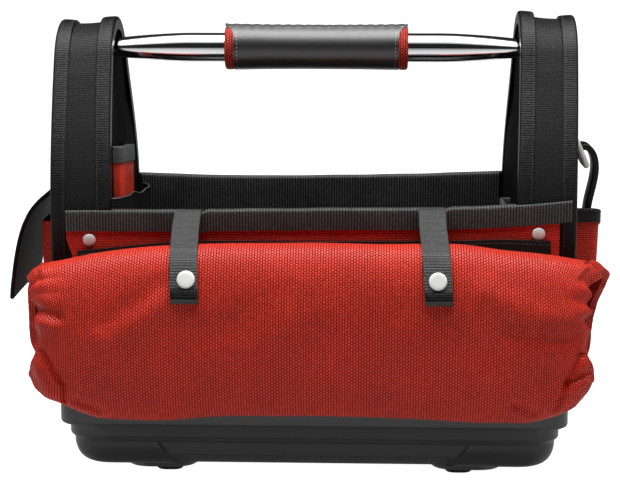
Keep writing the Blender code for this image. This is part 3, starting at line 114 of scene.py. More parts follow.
# A hoop's pull out of that outline, for its inner and its outer edge: sideways at the foot,
# more sideways at the crown, upwards at the crown
HOOP_PULLS = {"left": ((0.0, 3.8, 1.7), (2.6, 2.6, -1.2)), "right": ((0.5, 4.0, 7.5), (1.5, 3.3, 3.7))}

# Handle: pressed end of its tube as place along it, half height, half width
TUBE_Z = 380.0
TUBE_STATIONS = np.array((
    (95.0, 13.45, 13.45), (125.0, 13.3, 13.6), (150.0, 12.0, 14.2), (170.0, 10.4, 14.8),
    (182.0, 9.2, 15.0), (190.0, 8.9, 15.0), (197.0, 6.0, 13.0), (212.0, 3.6, 11.0)))
TUBE_END_X = 212.0
GRIP_HALF = 84.5
GRIP_MESH_RADIUS = 20.4
LEATHER_RADIUS = 18.7
LEATHER_MARGIN = 8.5

# Rolled cover
ROLL_HALF = 246.0
ROLL_BACK_Y = -110.7
ROLL_DEPTH = 66.0
ROLL_TOP_Z = 222.0
ROLL_BOTTOM_Z = 68.0
ROLL_HOLLOW = 46.0
# Share of its half length, drop of its top on the left and on the right, rise of its bottom on the
# left and on the right, share of its depth lost
ROLL_STATIONS = np.array((
    (0.0, 0.0, 0.0, 2.3, 2.3, 0.0), (0.30, 0.9, 0.3, 1.2, 1.2, 0.0), (0.56, 3.7, 0.8, -3.1, -2.0, 0.0),
    (0.68, 7.0, 4.8, -3.0, -2.2, 0.0), (0.77, 10.4, 7.3, -1.0, -2.2, 0.01),
    (0.83, 13.3, 9.3, 4.0, 0.6, 0.02), (0.90, 17.0, 12.4, 10.4, 5.6, 0.05),
    (0.955, 19.5, 15.5, 15.0, 12.0, 0.09), (0.985, 23.0, 19.0, 21.0, 19.0, 0.13),
    (1.0, 28.0, 24.0, 29.0, 27.0, 0.18)))
# Reach of its gathered ends round the section: angle from the front up to the top, place in X
ROLL_LEFT_END = np.array((
    (-90, 224), (-72, 237), (-54, 245), (-38, 243), (-20, 238), (0, 235), (12, 237), (24, 234),
    (34, 239), (44, 243), (53, 240), (62, 245), (74, 246), (84, 241), (94, 242), (115, 249),
    (150, 255), (180, 256), (215, 252), (245, 238), (270, 224)), float)
ROLL_RIGHT_END = np.array((
    (-90, 222), (-72, 235), (-54, 243), (-38, 243), (-20, 239), (-6, 235), (6, 238), (14, 233),
    (24, 238), (32, 234), (42, 239), (52, 236), (64, 245), (76, 249), (84, 246), (94, 252),
    (108, 259), (130, 260), (155, 255), (180, 249), (215, 245), (245, 236), (270, 222)), float)
# Folds in its front: depth (minus stands out), half width, and the line in X and Z that it follows
ROLL_FOLDS = (
    (4.4, 4.5, ((-236, 167), (-226, 165), (-215, 162))),
    (-2.2, 5.0, ((-234, 156), (-222, 154))),
    (4.2, 2.6, ((-231, 131), (-226, 123), (-221, 113), (-213, 102), (-214, 86))),
    (-2.4, 5.0, ((-238, 120), (-232, 106), (-226, 94))),
    (3.2, 4.0, ((-203, 87), (-184, 79))),
    (2.4, 9.0, ((-128, 190), (-150, 173), (-176, 158))),
    (-3.0, 13.0, ((-118, 181), (-146, 162), (-178, 144))),
    (1.0, 12.0, ((-20, 186), (-60, 160), (-100, 142))),
    (-0.9, 16.0, ((20, 170), (-30, 146), (-70, 130))),
    (3.4, 2.4, ((228, 133), (239, 131))),
    (4.0, 3.0, ((219, 107), (228, 111), (240, 115))),
    (3.4, 2.6, ((231, 131), (221, 112), (218, 101), (214, 90), (211, 84))),
    (-2.4, 5.0, ((224, 97), (238, 104))),
    (3.2, 4.5, ((176, 88), (192, 80))),
    (2.4, 7.0, ((196, 108), (206, 99))),
    (-2.8, 12.0, ((150, 186), (190, 168), (228, 160))),
    (3.4, 9.0, ((170, 150), (200, 146), (232, 150))),
    (1.2, 14.0, ((80, 170), (120, 150), (150, 130))))

# Straps and their snaps: a strap's X at the rim and at its end
STRAP_X = 108.4
STRAP_HALF = 12.0
STRAP_HALF_THICK = 0.9
STRAP_END_Z = 181.5
SNAP_Z = 196.0
STRAP_PLACES = {"left": (-110.2, -106.4), "right": (105.1, 109.5)}

# Pockets inside the hoops, from the wall that each is sewn to
INSIDE_WALL_X = 181.6
LOW_POCKET_X = -173.7
LOW_POCKET_FOOT_Z = 116.0

# End pockets, and the loop and ring that hang over the right one; the right pocket's reach, half
# width and how far its mouth slopes down
END_WALL_X = 230.2
RIGHT_POCKET = (28.0, 60.0, 38.0)
HANGER_Y = -40.0
RING_HINGE_X = 234.3
RING_HINGE_Z = 303.5
RING_HALF_WIDE = 18.5
RING_HALF_HIGH = 13.75
RING_BAR_RADIUS = 2.7
RING_LEAN = math.radians(23.7)
RIVET_X = 199.0
RIVET_FRONT_Z = {"left": 216.5, "right": 224.5}
RIVET_BACK_Z = 225.5

# Brightness of the floor as it mirrors in the bag, where 1 is the white that the camera sees
MIRRORED_GLOW = 0.28


# Places and meshes
def metres(points):
    """Millimetres from the middle of the bag, as metres in the frame."""
    return np.asarray(points, float) * MM + BAG_MIDDLE


def stack(x, y, z):
    """Three grids or lines of coordinates as one table of points."""
    return np.stack(np.broadcast_arrays(x, y, z), axis=-1)


def lengths(line):
    """Distance along a line of points to each of them."""
    return np.concatenate(([0.0], np.cumsum(np.linalg.norm(np.diff(line, axis=0), axis=1))))


def read_off(targets, places, values):
    """Points on a line at some distances along it."""
    return np.stack([np.interp(targets, places, column) for column in values.T], axis=-1)


def resample(line, count):
    """The same line with its points evenly spaced."""
    line = np.asarray(line, float)
    places = lengths(line)
    return read_off(np.linspace(0.0, places[-1], count), places, line)


def relaxed(line, count, turns):
    """Evenly spaced line with its corners worn round."""
    line = resample(line, count)
    for turn in range(turns):
        line[1:-1] = (line[:-2] + 2 * line[1:-1] + line[2:]) / 4
    return line


def headings(line):
    """Direction of a line at each of its points."""
    along = np.gradient(line, axis=0)
    return along / np.linalg.norm(along, axis=1)[:, None]


def part(x, start, end):
    """Share of the way from start to end, held at 0 before and at 1 after."""
    return np.clip((x - start) / (end - start), 0.0, 1.0)


def soft_part(x, start, end):
    """The same share, easing in and out."""
    t = part(x, start, end)
    return t * t * (3 - 2 * t)


def eased(x, places, values):
    """Smooth curve through a table of values."""
    places = np.asarray(places, float)
    values = np.asarray(values, float)
    slopes = np.gradient(values, places)
    index = np.clip(np.searchsorted(places, x) - 1, 0, len(places) - 2)
    span = places[index + 1] - places[index]
    t = np.clip((x - places[index]) / span, 0.0, 1.0)
    return (values[index] * (1 + 2 * t) * (1 - t) ** 2 + slopes[index] * span * t * (1 - t) ** 2
            + values[index + 1] * t * t * (3 - 2 * t) + slopes[index + 1] * span * t * t * (t - 1))


def rounded(corners, radius, steps=4, closed=True):
    """Outline with its corners rounded, one radius for all or one for each."""
    corners = [np.asarray(corner, float) for corner in corners]
    radii = [radius] * len(corners) if np.isscalar(radius) else radius
    points = []
    for index, corner in enumerate(corners):
        if not closed and index in (0, len(corners) - 1):
            points.append(corner)
            continue
        before = corners[index - 1] - corner
        after = corners[(index + 1) % len(corners)] - corner
        reach = min(radii[index], np.linalg.norm(before) * 0.49, np.linalg.norm(after) * 0.49)
        start = corner + before / np.linalg.norm(before) * reach
        end = corner + after / np.linalg.norm(after) * reach
        for t in np.linspace(0.0, 1.0, steps + 1):
            points.append(start * (1 - t) ** 2 + corner * 2 * t * (1 - t) + end * t * t)
    return np.array(points)


def tape_profile(outer, inner, half, radius):
    """Section of a flat tape, as (out, side) points."""
    return rounded(((outer, half), (outer, -half), (inner, -half), (inner, half)), radius, 3)


def ripple(a, b, size, seed):
    """Uneven give of cloth, from about -1 to 1, in waves about this many millimetres long."""
    chance = np.random.default_rng(seed)
    total = 0.0
    for wave in range(5):
        angle = chance.uniform(0, TURN)
        phase = chance.uniform(0, TURN)
        length = size * chance.uniform(0.7, 1.7)
        total = total + np.sin((a * math.cos(angle) + b * math.sin(angle)) * TURN / length + phase)
    return total / 3


def lay_grid(name, table):
    """A grid laid over a table of points, rows by columns, with a UV map in metres."""
    rows, columns = table.shape[0] - 1, table.shape[1] - 1
    bpy.ops.object.select_all(action="DESELECT")
    bpy.ops.mesh.primitive_grid_add(x_subdivisions=columns, y_subdivisions=rows, size=1)
    item = bpy.context.object
    mesh = item.data
    item.name = mesh.name = name
    flat = np.empty(len(mesh.vertices) * 3)
    mesh.vertices.foreach_get("co", flat)
    column = np.rint((flat[0::3] + 0.5) * columns).astype(int)
    row = np.rint((flat[1::3] + 0.5) * rows).astype(int)
    mesh.vertices.foreach_set("co", metres(table[row, column]).ravel())
    corner = np.empty(len(mesh.loops), int)
    mesh.loops.foreach_get("vertex_index", corner)
    uv = np.stack((lengths(table[rows // 2])[column[corner]], lengths(table[:, columns // 2])[row[corner]]),
                  axis=-1) * MM
    mesh.uv_layers.active.data.foreach_set("uv", uv.ravel())
    mesh.update()
    return item


def close_up(item, weld=True):
    """Turn a piece's faces outwards, once its seam is welded and its open ends are filled."""
    bpy.context.view_layer.objects.active = item
    bpy.ops.object.mode_set(mode="EDIT")
    bpy.ops.mesh.select_all(action="SELECT")
    if weld:
        bpy.ops.mesh.remove_doubles(threshold=0.00002)
        bpy.ops.mesh.fill_holes(sides=0)
    bpy.ops.mesh.normals_make_consistent(inside=False)
    bpy.ops.object.mode_set(mode="OBJECT")
    return item


def solid(name, table):
    """Closed piece whose skin wraps round a table of points."""
    return close_up(lay_grid(name, table))


def block(name, rings):
    """Closed piece skinned over a few rings of points."""
    return solid(name, np.array([np.vstack((ring, ring[:1])) for ring in rings]))


def modify(item, kind, **settings):
    """Add a modifier and apply it."""
    step = item.modifiers.new(kind.title(), kind)
    for key, value in settings.items():
        setattr(step, key, value)
    bpy.context.view_layer.objects.active = item
    bpy.ops.object.modifier_apply(modifier=step.name)


def cut(item, tool, operation="DIFFERENCE"):
    """Cut a tool out of a piece, or join it on."""
    modify(item, "BOOLEAN", object=tool, operation=operation, solver="EXACT")
    bpy.data.objects.remove(tool, do_unlink=True)


def dress(item, finish, body="root", stands_for=(), angle=40.0):
    """Give a finished piece its shading, material and body, and hide the CAD nodes that it stands for."""
    bpy.ops.object.select_all(action="DESELECT")
    item.select_set(True)
    bpy.context.view_layer.objects.active = item
    bpy.ops.object.shade_smooth_by_angle(angle=math.radians(angle))
    material, slot = FINISHES[finish]
    item.data.materials.clear()
    item.data.materials.append(material)
    if body:
        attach(item, body)
    if stands_for:
        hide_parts(*stands_for)
    return item


def cloth(name, finish, table, thickness=1.4, stands_for=(), angle=60.0):
    """Sheet of cloth: the table is its outer face and its thickness lies behind it."""
    item = lay_grid(name, table)
    modify(item, "SOLIDIFY", thickness=thickness * MM, offset=-1.0)
    dress(close_up(item, weld=False), finish, "root", stands_for, angle)


def strip(name, finish, line, outs, side, profile, body="root", stands_for=(), angle=50.0):
    """Folded tape: a closed profile of (out, side) points led along a line."""
    profile = np.vstack((profile, profile[:1]))[None]
    table = line[:, None] + outs[:, None] * profile[..., :1] + np.array(side) * profile[..., 1:]
    return dress(solid(name, table), finish, body, stands_for, angle)


def mirrored(table, axis, wanted=True):
    """The same table on the other side of the bag, if that is wanted, its faces still outwards."""
    if not wanted:
        return table
    other = table[:, ::-1].copy()
    other[..., axis] *= -1
    return other


def stitches(name, line, outs, finish="hem_thread", pitch=3.4, length=2.1, width=0.75, body="root"):
    """Row of sewn stitches: one small capsule copied along a line, half sunk into the cloth."""
    bpy.ops.object.select_all(action="DESELECT")
    bpy.ops.mesh.primitive_uv_sphere_add(segments=6, ring_count=4, radius=0.5)
    seed = bpy.context.object
    sized = np.array([vertex.co[:] for vertex in seed.data.vertices]) * (length, width, width)
    faces = [list(face.vertices) for face in seed.data.polygons]
    bpy.data.objects.remove(seed, do_unlink=True)
    outs = np.broadcast_to(np.asarray(outs, float), line.shape)
    places = lengths(line)
    count = max(2, int(places[-1] / pitch))
    targets = np.linspace(length, places[-1] - length, count)
    along = read_off(targets + 0.5, places, line) - read_off(targets - 0.5, places, line)
    along /= np.linalg.norm(along, axis=1)[:, None]
    beside = np.cross(read_off(targets, places, outs), along)
    beside /= np.linalg.norm(beside, axis=1)[:, None]
    up = np.cross(along, beside)
    shape = (read_off(targets, places, line)[:, None] + along[:, None] * sized[None, :, :1]
             + beside[:, None] * sized[None, :, 1:2] + up[:, None] * sized[None, :, 2:])
    every = [[index + number * len(sized) for index in face] for number in range(count) for face in faces]
    mesh = bpy.data.meshes.new(name)
    mesh.from_pydata(metres(shape.reshape(-1, 3)).tolist(), [], every)
    row = bpy.data.objects.new(name, mesh)
    bpy.context.scene.collection.objects.link(row)
    dress(row, finish, body)


# Materials
def srgb(code):
    """Hex colour as it is seen, turned to the linear values that a shader takes."""
    values = [int(code[place:place + 2], 16) / 255 for place in (1, 3, 5)]
    linear = [value / 12.92 if value <= 0.04045 else ((value + 0.055) / 1.055) ** 2.4 for value in values]
    return (*linear, 1.0)


def grey(level):
    """Grey as a shader's colour."""
    return (level, level, level, 1)


def feed(tree, item, inputs):
    """Fill a node's inputs, or link them to a socket or to what another node gives."""
    for key, value in inputs.items():
        if isinstance(value, bpy.types.Node):
            value = next(socket for socket in value.outputs if socket.enabled)
        if isinstance(value, bpy.types.NodeSocket):
            tree.links.new(value, item.inputs[key])
        else:
            item.inputs[key].default_value = value


def add(tree, kind, inputs=None, **settings):
    """Add a node with its settings and what feeds it."""
    item = tree.nodes.new("ShaderNode" + kind)
    for key, value in settings.items():
        setattr(item, key, value)
    feed(tree, item, inputs or {})
    return item


def start_material(name, roughness, gleam=0.5, metallic=0.0):
    """New material with one roughness, reflectance and share of metal."""
    material = bpy.data.materials.new(name)
    material.use_nodes = True
    tree = material.node_tree
    shader = tree.nodes["Principled BSDF"]
    feed(tree, shader, {"Roughness": roughness, "Metallic": metallic, "Specular IOR Level": gleam})
    return material, tree, shader


def cloth_millimetres(tree):
    """The piece's own UV map in millimetres, so that threads follow the cloth."""
    return add(tree, "Mapping", {"Vector": add(tree, "TexCoord").outputs["UV"], "Scale": (1000, 1000, 1000)})


def grain(tree, size_mm, detail, low, high):
    """Noise with grains of one size, and its middle range stretched from low to high."""
    noise = add(tree, "TexNoise", {"Vector": add(tree, "TexCoord").outputs["Object"],
                                   "Scale": 1000 / size_mm, "Detail": detail})
    return noise, add(tree, "MapRange", {"Value": noise, "From Min": 0.3, "From Max": 0.7,
                                         "To Min": low, "To Max": high})


def uneven(tree, colour, size_mm, give):
    """A colour that changes slowly in brightness over the piece."""
    level = grain(tree, size_mm, 3.0, 1 - give, 1 + give)[1]
    return add(tree, "HueSaturation", {"Color": colour, "Value": level})


def woven(name, thread, gap, width_mm, row_mm, roughness, gleam, bump):
    """Plain weave: rows of short raised glossy threads, each row set off by half a thread."""
    material, tree, shader = start_material(name, roughness, gleam)
    weave = add(tree, "TexBrick", {
        "Vector": cloth_millimetres(tree), "Scale": 1.0, "Color1": grey(1), "Color2": grey(0.8),
        "Mortar": grey(0), "Mortar Size": row_mm * 0.3, "Mortar Smooth": 1.0, "Brick Width": width_mm,
        "Row Height": row_mm}, offset=0.5)
    # Thread tops drawn lighter and the gaps darker: partly the weave's own pattern, partly a painted
    # highlight on each thread and painted shade between them
    crown = add(tree, "Math", {0: weave, 1: 1.3}, operation="POWER")
    shade = add(tree, "Mix", {"Factor": crown, "A": srgb(gap), "B": srgb(thread)}, data_type="RGBA")
    feed(tree, shader, {
        "Base Color": uneven(tree, shade, 45, 0.1),
        "Roughness": add(tree, "MapRange", {"Value": weave, "To Min": 0.8, "To Max": roughness}),
        "Normal": add(tree, "Bump", {"Height": weave, "Strength": bump, "Distance": 0.0005})})
    return material


def ribbed(name, rib, groove, pitch_mm, across, roughness, gleam, bump):
    """Webbing: raised ribs at one spacing, broken up by the threads that cross them."""
    material, tree, shader = start_material(name, roughness, gleam)
    place = cloth_millimetres(tree)
    wave = add(tree, "TexWave", {"Vector": place, "Scale": TURN / 20 / pitch_mm, "Distortion": 0.6,
                                 "Detail": 2.0, "Detail Scale": 3.0},
               wave_type="BANDS", bands_direction=across, wave_profile="SIN")
    threads = add(tree, "TexBrick", {
        "Vector": place, "Scale": 1.0, "Color1": grey(1), "Color2": grey(0.5), "Mortar": grey(0.1),
        "Mortar Size": 0.3, "Mortar Smooth": 0.8, "Brick Width": 1.7, "Row Height": 1.1}, offset=0.5)
    height = add(tree, "Math", {0: wave.outputs["Fac"], 1: threads}, operation="MULTIPLY")
    shade = add(tree, "Mix", {"Factor": height, "A": srgb(groove), "B": srgb(rib)}, data_type="RGBA")
    feed(tree, shader, {
        "Base Color": uneven(tree, shade, 30, 0.2),
        "Normal": add(tree, "Bump", {"Height": height, "Strength": bump, "Distance": 0.0006})})
    return material


def grained(name, colour, low, high, grain_mm, bump, gleam=0.5, metallic=0.0):
    """Moulded, coated or plated surface: one colour, with a fine grain in its relief and its gloss."""
    material, tree, shader = start_material(name, low, gleam, metallic)
    relief, gloss = grain(tree, grain_mm, 4.0, low, high)
    feed(tree, shader, {
        "Base Color": uneven(tree, srgb(colour), 60, 0.1), "Roughness": gloss,
        "Normal": add(tree, "Bump", {"Height": relief, "Strength": bump, "Distance": 0.0002})})
    return material


def embossed_leather():
    """Black split leather, embossed: small rounded cells with creases between them, each cell's middle drawn
    a little lighter as a painted glint.
    """
    material, tree, shader = start_material("embossed_black_leather", 0.42, 0.9)
    cells = add(tree, "TexVoronoi", {"Vector": add(tree, "TexCoord").outputs["Object"], "Scale": 1000 / 1.1,
                                     "Smoothness": 0.4}, feature="SMOOTH_F1")
    feed(tree, shader, {
        "Base Color": add(tree, "Mix", {"Factor": cells, "A": srgb("#1E1F1F"), "B": srgb("#0E0F0F")},
                          data_type="RGBA"),
        "Roughness": add(tree, "MapRange", {"Value": cells, "To Min": 0.30, "To Max": 0.46}),
        "Normal": add(tree, "Bump", {"Height": cells, "Strength": 0.25, "Distance": 0.0002}, invert=True)})
    return material


# Each finish with the slot of the record that it fills. Real threads and ribs lie about 1 mm apart, too
# fine to show from here, so every weave, mesh and webbing is drawn coarser, at the sizes given in mm.
FINISHES = {
    # Coarse 1200-denier polyester: round shiny threads catch the light one by one, helped by a painted
    # highlight on each, with dark gaps
    "cover": (woven("red_coarse_polyester", "#FF3C22", "#5A0603", 2.9, 2.35, 0.27, 0.27, 0.7),
              "cover_fabric"),
    # The same cloth, less shiny so that the wall lies quiet behind the roll, and drawn a little paler:
    # painted light that offsets the shade the wall lies in
    "panel": (woven("red_wall_polyester", "#FF4430", "#6A0A06", 2.4, 1.6, 0.5, 0.25, 0.6), "panel_fabric"),
    # Knitted rib cloth, an even orange-red with faint stripes, drawn brighter as painted light that offsets
    # the shade inside the hoop
    "inner_red": (ribbed("red_ribbed_pocket_cloth", "#FF6A48", "#D02A1A", 2.4, "Y", 0.6, 0.15, 0.4),
                  "inner_pocket_red"),
    # Black polyester, woven from smooth yarn: dark, with a soft sheen where it curves
    "hoop": (woven("black_woven_polyester", "#232424", "#020202", 2.2, 1.75, 0.28, 0.17, 0.35),
             "hoop_fabric"),
    # Thinner black polyester: dull, with a finer weave
    "pocket": (woven("black_pocket_polyester", "#2A2B2B", "#0A0A0A", 1.9, 1.5, 0.55, 0.15, 0.5),
               "hoop_fabric"),
    # Pressed nonwoven felt: nearly black from every side, with no gloss
    "lining": (grained("black_nonwoven_lining", "#0C0C0C", 0.85, 0.95, 1.5, 0.3, 0.05), "lining_fabric"),
    # Polyester with a smooth coating: black and dull, with a fine pebble
    "flap": (grained("black_coated_flap_cloth", "#0E0F0F", 0.6, 0.7, 1.2, 0.2, 0.1), "flap_fabric"),
    # Heavy ribbed webbing: grey ridges and black grooves across the rim
    "rim": (ribbed("ribbed_black_rim_webbing", "#727373", "#030303", 2.6, "X", 0.5, 0.25, 0.5),
            "rim_webbing"),
    # Tightly woven binding tape: fine cross ribs that shine along their tops
    "binding": (ribbed("black_binding_tape", "#2C2D2D", "#020202", 2.2, "Y", 0.30, 0.20, 0.4),
                "binding_webbing"),
    # Softer grey-black tape, drawn pale grey as a painted sheen where it faces up: flat and pale beside the
    # other black tapes
    "pocket_binding": (ribbed("black_pocket_tape_painted_sheen", "#6A6C6C", "#454747", 1.6, "X", 0.6, 0.4, 0.3),
                       "binding_webbing"),
    # Dark grey polypropylene webbing: wide cross ribs with a dull shine
    "strap": (ribbed("dark_grey_strap_webbing", "#6C6E6C", "#050606", 2.5, "Y", 0.42, 0.35, 0.9),
              "strap_webbing"),
    # Bonded polyester thread, nearly white: a dotted line on the black leather
    "thread": (grained("light_grey_sewing_thread", "#D8D8D4", 0.55, 0.7, 0.5, 0.2), "strap_webbing"),
    # Waxed thread, dark red: laces the leather's edges together
    "red_thread": (grained("dark_red_lacing_thread", "#7A3A3A", 0.55, 0.7, 0.5, 0.2), "strap_webbing"),
    # Polyester thread, dark grey: seams that barely show on black
    "hem_thread": (grained("dark_grey_hem_thread", "#484948", 0.55, 0.7, 0.5, 0.2), "strap_webbing"),
    # Inside of the roll's ends: the cover cloth drawn a dull, deep red as painted shade of the hollow
    "cover_inside": (woven("cover_inside_painted_shade", "#A0180F", "#3A0302", 2.6, 1.75, 0.55, 0.1, 0.4),
                     "cover_fabric"),
    # Injection-moulded polypropylene with a fine spark texture: black with a soft satin gloss
    "base": (grained("moulded_black_polypropylene", "#232424", 0.32, 0.40, 0.7, 0.1, 0.6), "moulded_base"),
    # Moulded rubber: black and matt
    "rubber": (grained("black_runner_rubber", "#141414", 0.6, 0.75, 0.8, 0.2), "runner_rubber"),
    # Extruded polyethylene board: plain dark sheet on the floor of the bag
    "board": (grained("black_base_board", "#1A1A1A", 0.6, 0.75, 2.0, 0.3), "stiff_board"),
    # Cut foam: open grey cells with no gloss
    "foam": (grained("grey_padding_foam", "#6A6A6A", 0.9, 1.0, 1.0, 0.5), "padding_foam"),
    # Knitted spacer mesh: red with dark holes between its threads
    "mesh": (woven("red_spacer_mesh", "#E84A38", "#3A0605", 2.4, 2.2, 0.5, 0.15, 0.6), "grip_mesh"),
    # Embossed split leather: small soft glints on black, from its gloss and partly painted into its colour
    "leather": (embossed_leather(), "grip_leather"),
    # Chrome plate on polished steel: mirrors the room in long bands
    "chrome": (grained("polished_chrome_plate", "#D9DADB", 0.07, 0.10, 40.0, 0.0, metallic=1.0),
               "handle_chrome"),
    # Tumbled nickel plate: pale and even, with a wide soft shine; only partly metal, its pale diffuse colour
    # a painted reflection of the overhead light
    "nickel": (grained("satin_nickel_plate", "#DCDCDA", 0.5, 0.6, 0.6, 0.05, metallic=0.3), "satin_steel"),
    # Zinc-plated steel: dull grey metal inside the hoops
    "steel": (grained("zinc_plated_steel", "#8C8D8F", 0.4, 0.5, 0.8, 0.1, metallic=1.0), "dark_steel"),
}
NODE_SLOTS = {row["node"]: row["material_slot"] for row in frame["record"]["subparts"]}
for node_name, node in frame["nodes"].items():
    node.data.materials.clear()
    node.data.materials.append(next(material for material, slot in FINISHES.values()
                                    if slot == NODE_SLOTS[node_name]))


# Moulded base
def tray_ring(half_x, half_y, radius, z):
    """Plan of the base at one height, with points along its straight sides too."""
    arcs = []
    for quarter, (side_x, side_y) in enumerate(((1, 1), (-1, 1), (-1, -1), (1, -1))):
        angle = np.linspace(quarter, quarter + 1, 9) * TURN / 4
        arcs.append(stack(side_x * (half_x - radius) + radius * np.cos(angle),
                          side_y * (half_y - radius) + radius * np.sin(angle), z))
    rows = []
    for arc, after in zip(arcs, arcs[1:] + arcs[:1]):
        rows += [arc, arc[-1] + (after[0] - arc[-1]) * np.arange(1, 20)[:, None] / 20]
    return np.vstack(rows + [arcs[0][:1]])


def make_base():
    """Tray with a rounded foot, a stepped side and a lip, each row half sizes, corner and height."""
    profile = [(221.0 - 14.0 * (1 - math.sin(angle)), 95.0 - 12.0 * (1 - math.sin(angle)), 22.0,
                4.0 + 23.0 * (1 - math.cos(angle))) for angle in np.linspace(0.0, TURN / 4, 13)]
    profile += [(221.1, 95.2, 22.0, 28.6), (221.6, 96.0, 22.0, 29.7), (222.8, 97.5, 22.0, 31.3),
                (224.0, 98.7, 22.0, 32.9), (224.2, 99.2, 22.0, 34.6), (224.2, 99.2, 22.0, 44.0),
                (224.8, 99.8, 20.0, 45.0)]
    profile += [(227.6 + 3.4 * math.sin(angle), 102.1 + 3.4 * math.sin(angle), 17.0,
                 45.0 + 3.4 * (1 - math.cos(angle))) for angle in np.linspace(0.0, TURN / 4, 7)]
    profile += [(231.0, 105.5, 17.0, 58.0), (231.0, 105.5, 17.0, 69.6), (230.8, 105.1, 16.6, 70.2),
                (230.3, 104.3, 15.8, 70.4), (229.7, 103.1, 12.0, 70.2), (229.4, 102.7, 11.0, 69.6),
                (229.4, 102.7, 11.0, 48.7), (218.8, 86.4, 19.4, 48.7), (218.8, 86.4, 19.4, 26.4),
                (204.8, 74.4, 19.4, 7.5)]
    base = solid("moulded_base", np.array([tray_ring(*row) for row in profile]))
    for side in (-1, 1):
        cut_recess(base, side)
        cut(base, plates("skid_tool", side * SKID_X, 32, 80, 24.0, (
            (-1.0, -1.0), (0.6, -0.6), (1.4, 0.4), (5.0, 4.3), (10.4, 15.3))), "UNION")
    modify(base, "BEVEL", width=0.7 * MM, segments=2, limit_method="ANGLE", angle_limit=math.radians(35))
    dress(base, "base", stands_for=("base_tray",), angle=35)


def cut_recess(base, side):
    """The long recess with its ridge, seen along the foot of the front and of the back."""
    out, up = np.array(((98.4, 27.4), (89.4, 27.4), (90.8, 15.0), (72.5, -2.0), (98.4, -2.0))).T
    ends = ((-138.0, 0.05), (-133.0, 0.6), (-124.0, 1.0), (124.0, 1.0), (133.0, 0.6), (138.0, 0.05))
    cut(base, block("recess_tool", [
        stack(along + math.copysign(0.55, along) * (up - 15.0), side * (98.0 - (98.0 - out) * depth), up)
        for along, depth in ends]))


def plates(name, x, half_x, half_y, radius, stages):
    """Block with round corners, each stage its growth all round and its height."""
    rings = []
    for grow, z in stages:
        a, b = half_x + grow, half_y + grow
        plan = rounded(((a, b), (-a, b), (-a, -b), (a, -b)), radius, 8)
        rings.append(stack(x + plan[:, 0], plan[:, 1], z))
    return block(name, rings)


# Walls, rim and patch pockets
def rim_rise(side, x):
    """Pull of the rim out of its straight line: drawn up towards the right hoop."""
    if side > 0:
        return eased(x, (-222.0, -180.0, -120.0, 0.0, 120.0, 178.0, 222.0),
                     (3.6, 1.9, 0.0, 0.0, 2.9, 5.4, 6.6))
    line = eased(x, (-222.0, -120.0, 0.0, 116.0, 165.0, 210.0, 230.0), (-2.6, -1.6, 0.0, 1.7, 3.6, 7.6, 9.6))
    return line - 2.4 * np.exp(-((np.abs(x) - 107.5) / 12.5) ** 6)


def make_wall(side, name):
    """Red wall with its dark backing, and the lining that hangs inside it."""
    share = np.linspace(-1.0, 1.0, 90)[None, :]
    up = np.linspace(0.0, 1.0, 40)[:, None]
    left = np.interp(WALL_FOOT_Z + up * 195.0, WALL_FLARE_Z, WALL_LEFT_X)
    across = np.where(share < 0, share * left, share * WALL_RIGHT_X)
    rows = WALL_FOOT_Z + (WALL_TOP_Z + rim_rise(side, across) - WALL_FOOT_Z) * up
    wall = stack(across, -WALL_Y - 0.15 * ripple(across, rows, 60, 3 + side), rows)
    backing = stack(across, 0.45 - WALL_Y + 1.0, rows)[:, ::-1]
    x = np.linspace(-BETWEEN_HOOPS_X, BETWEEN_HOOPS_X, 90)[None, :]
    z = np.linspace(WALL_FOOT_Z, LINING_TOP_Z, 40)[:, None]
    lining = stack(x, 0.8 - LINING_Y + 0.7 * ripple(x, z, 90, 11 + side), z)[:, ::-1]
    wall, backing, lining = (mirrored(table, 1, side > 0) for table in (wall, backing, lining))
    cloth(name + "_wall", "panel", wall, 1.3, (name + "_panel",))
    cloth(name + "_wall_backing", "lining", backing, 0.3)
    cloth(name + "_wall_lining", "lining", lining, 1.4, (name + "_lining",))


def make_rim(side, name):
    """Webbing folded over the rim; beside the hoops only its outer leg goes on."""
    half = RIM_THICKNESS / 2
    outer_y, inner_y, top_z = WALL_Y + 0.3 + half, 94.0 + half, RIM_Z - half
    line = rounded(((outer_y, RIM_Z - RIM_HEIGHT), (outer_y, top_z), (inner_y, top_z),
                    (inner_y, RIM_Z - (RIM_HEIGHT if side < 0 else 38.0))), 2.6, 6, closed=False)
    down = np.linspace(0.0, 1.0, 8)[:, None]
    line = np.vstack((line[0] + (line[1] - line[0]) * down, line[2:-2],
                      line[-2] + (line[-1] - line[-2]) * down))
    across = np.concatenate((np.linspace(-220.0, -BETWEEN_HOOPS_X, 12),
                             np.linspace(-BETWEEN_HOOPS_X, BETWEEN_HOOPS_X, 120)[1:-1],
                             np.linspace(BETWEEN_HOOPS_X, 228.0 if side < 0 else 220.0, 14)))
    give = rim_rise(side, across) + 0.25 * ripple(across, 0 * across, 70, 21 + side)
    item = lay_grid(name + "_rim", mirrored(stack(across, -line[:, :1], line[:, 1:] + give), 1, side > 0))
    bpy.context.view_layer.objects.active = item
    bpy.ops.object.mode_set(mode="EDIT")
    bpy.ops.mesh.select_mode(type="FACE")
    bpy.ops.mesh.select_all(action="DESELECT")
    bpy.ops.object.mode_set(mode="OBJECT")
    for face in item.data.polygons:
        x, y = ((np.array(face.center) - BAG_MIDDLE) / MM)[:2]
        face.select = bool(abs(x) > BETWEEN_HOOPS_X and abs(y) < WALL_Y)
    bpy.ops.object.mode_set(mode="EDIT")
    bpy.ops.mesh.delete(type="FACE")
    bpy.ops.mesh.select_mode(type="VERT")
    bpy.ops.object.mode_set(mode="OBJECT")
    modify(item, "SOLIDIFY", thickness=RIM_THICKNESS * MM, offset=0.0)
    dress(close_up(item), "rim", stands_for=(name + "_rim_webbing",), angle=50)


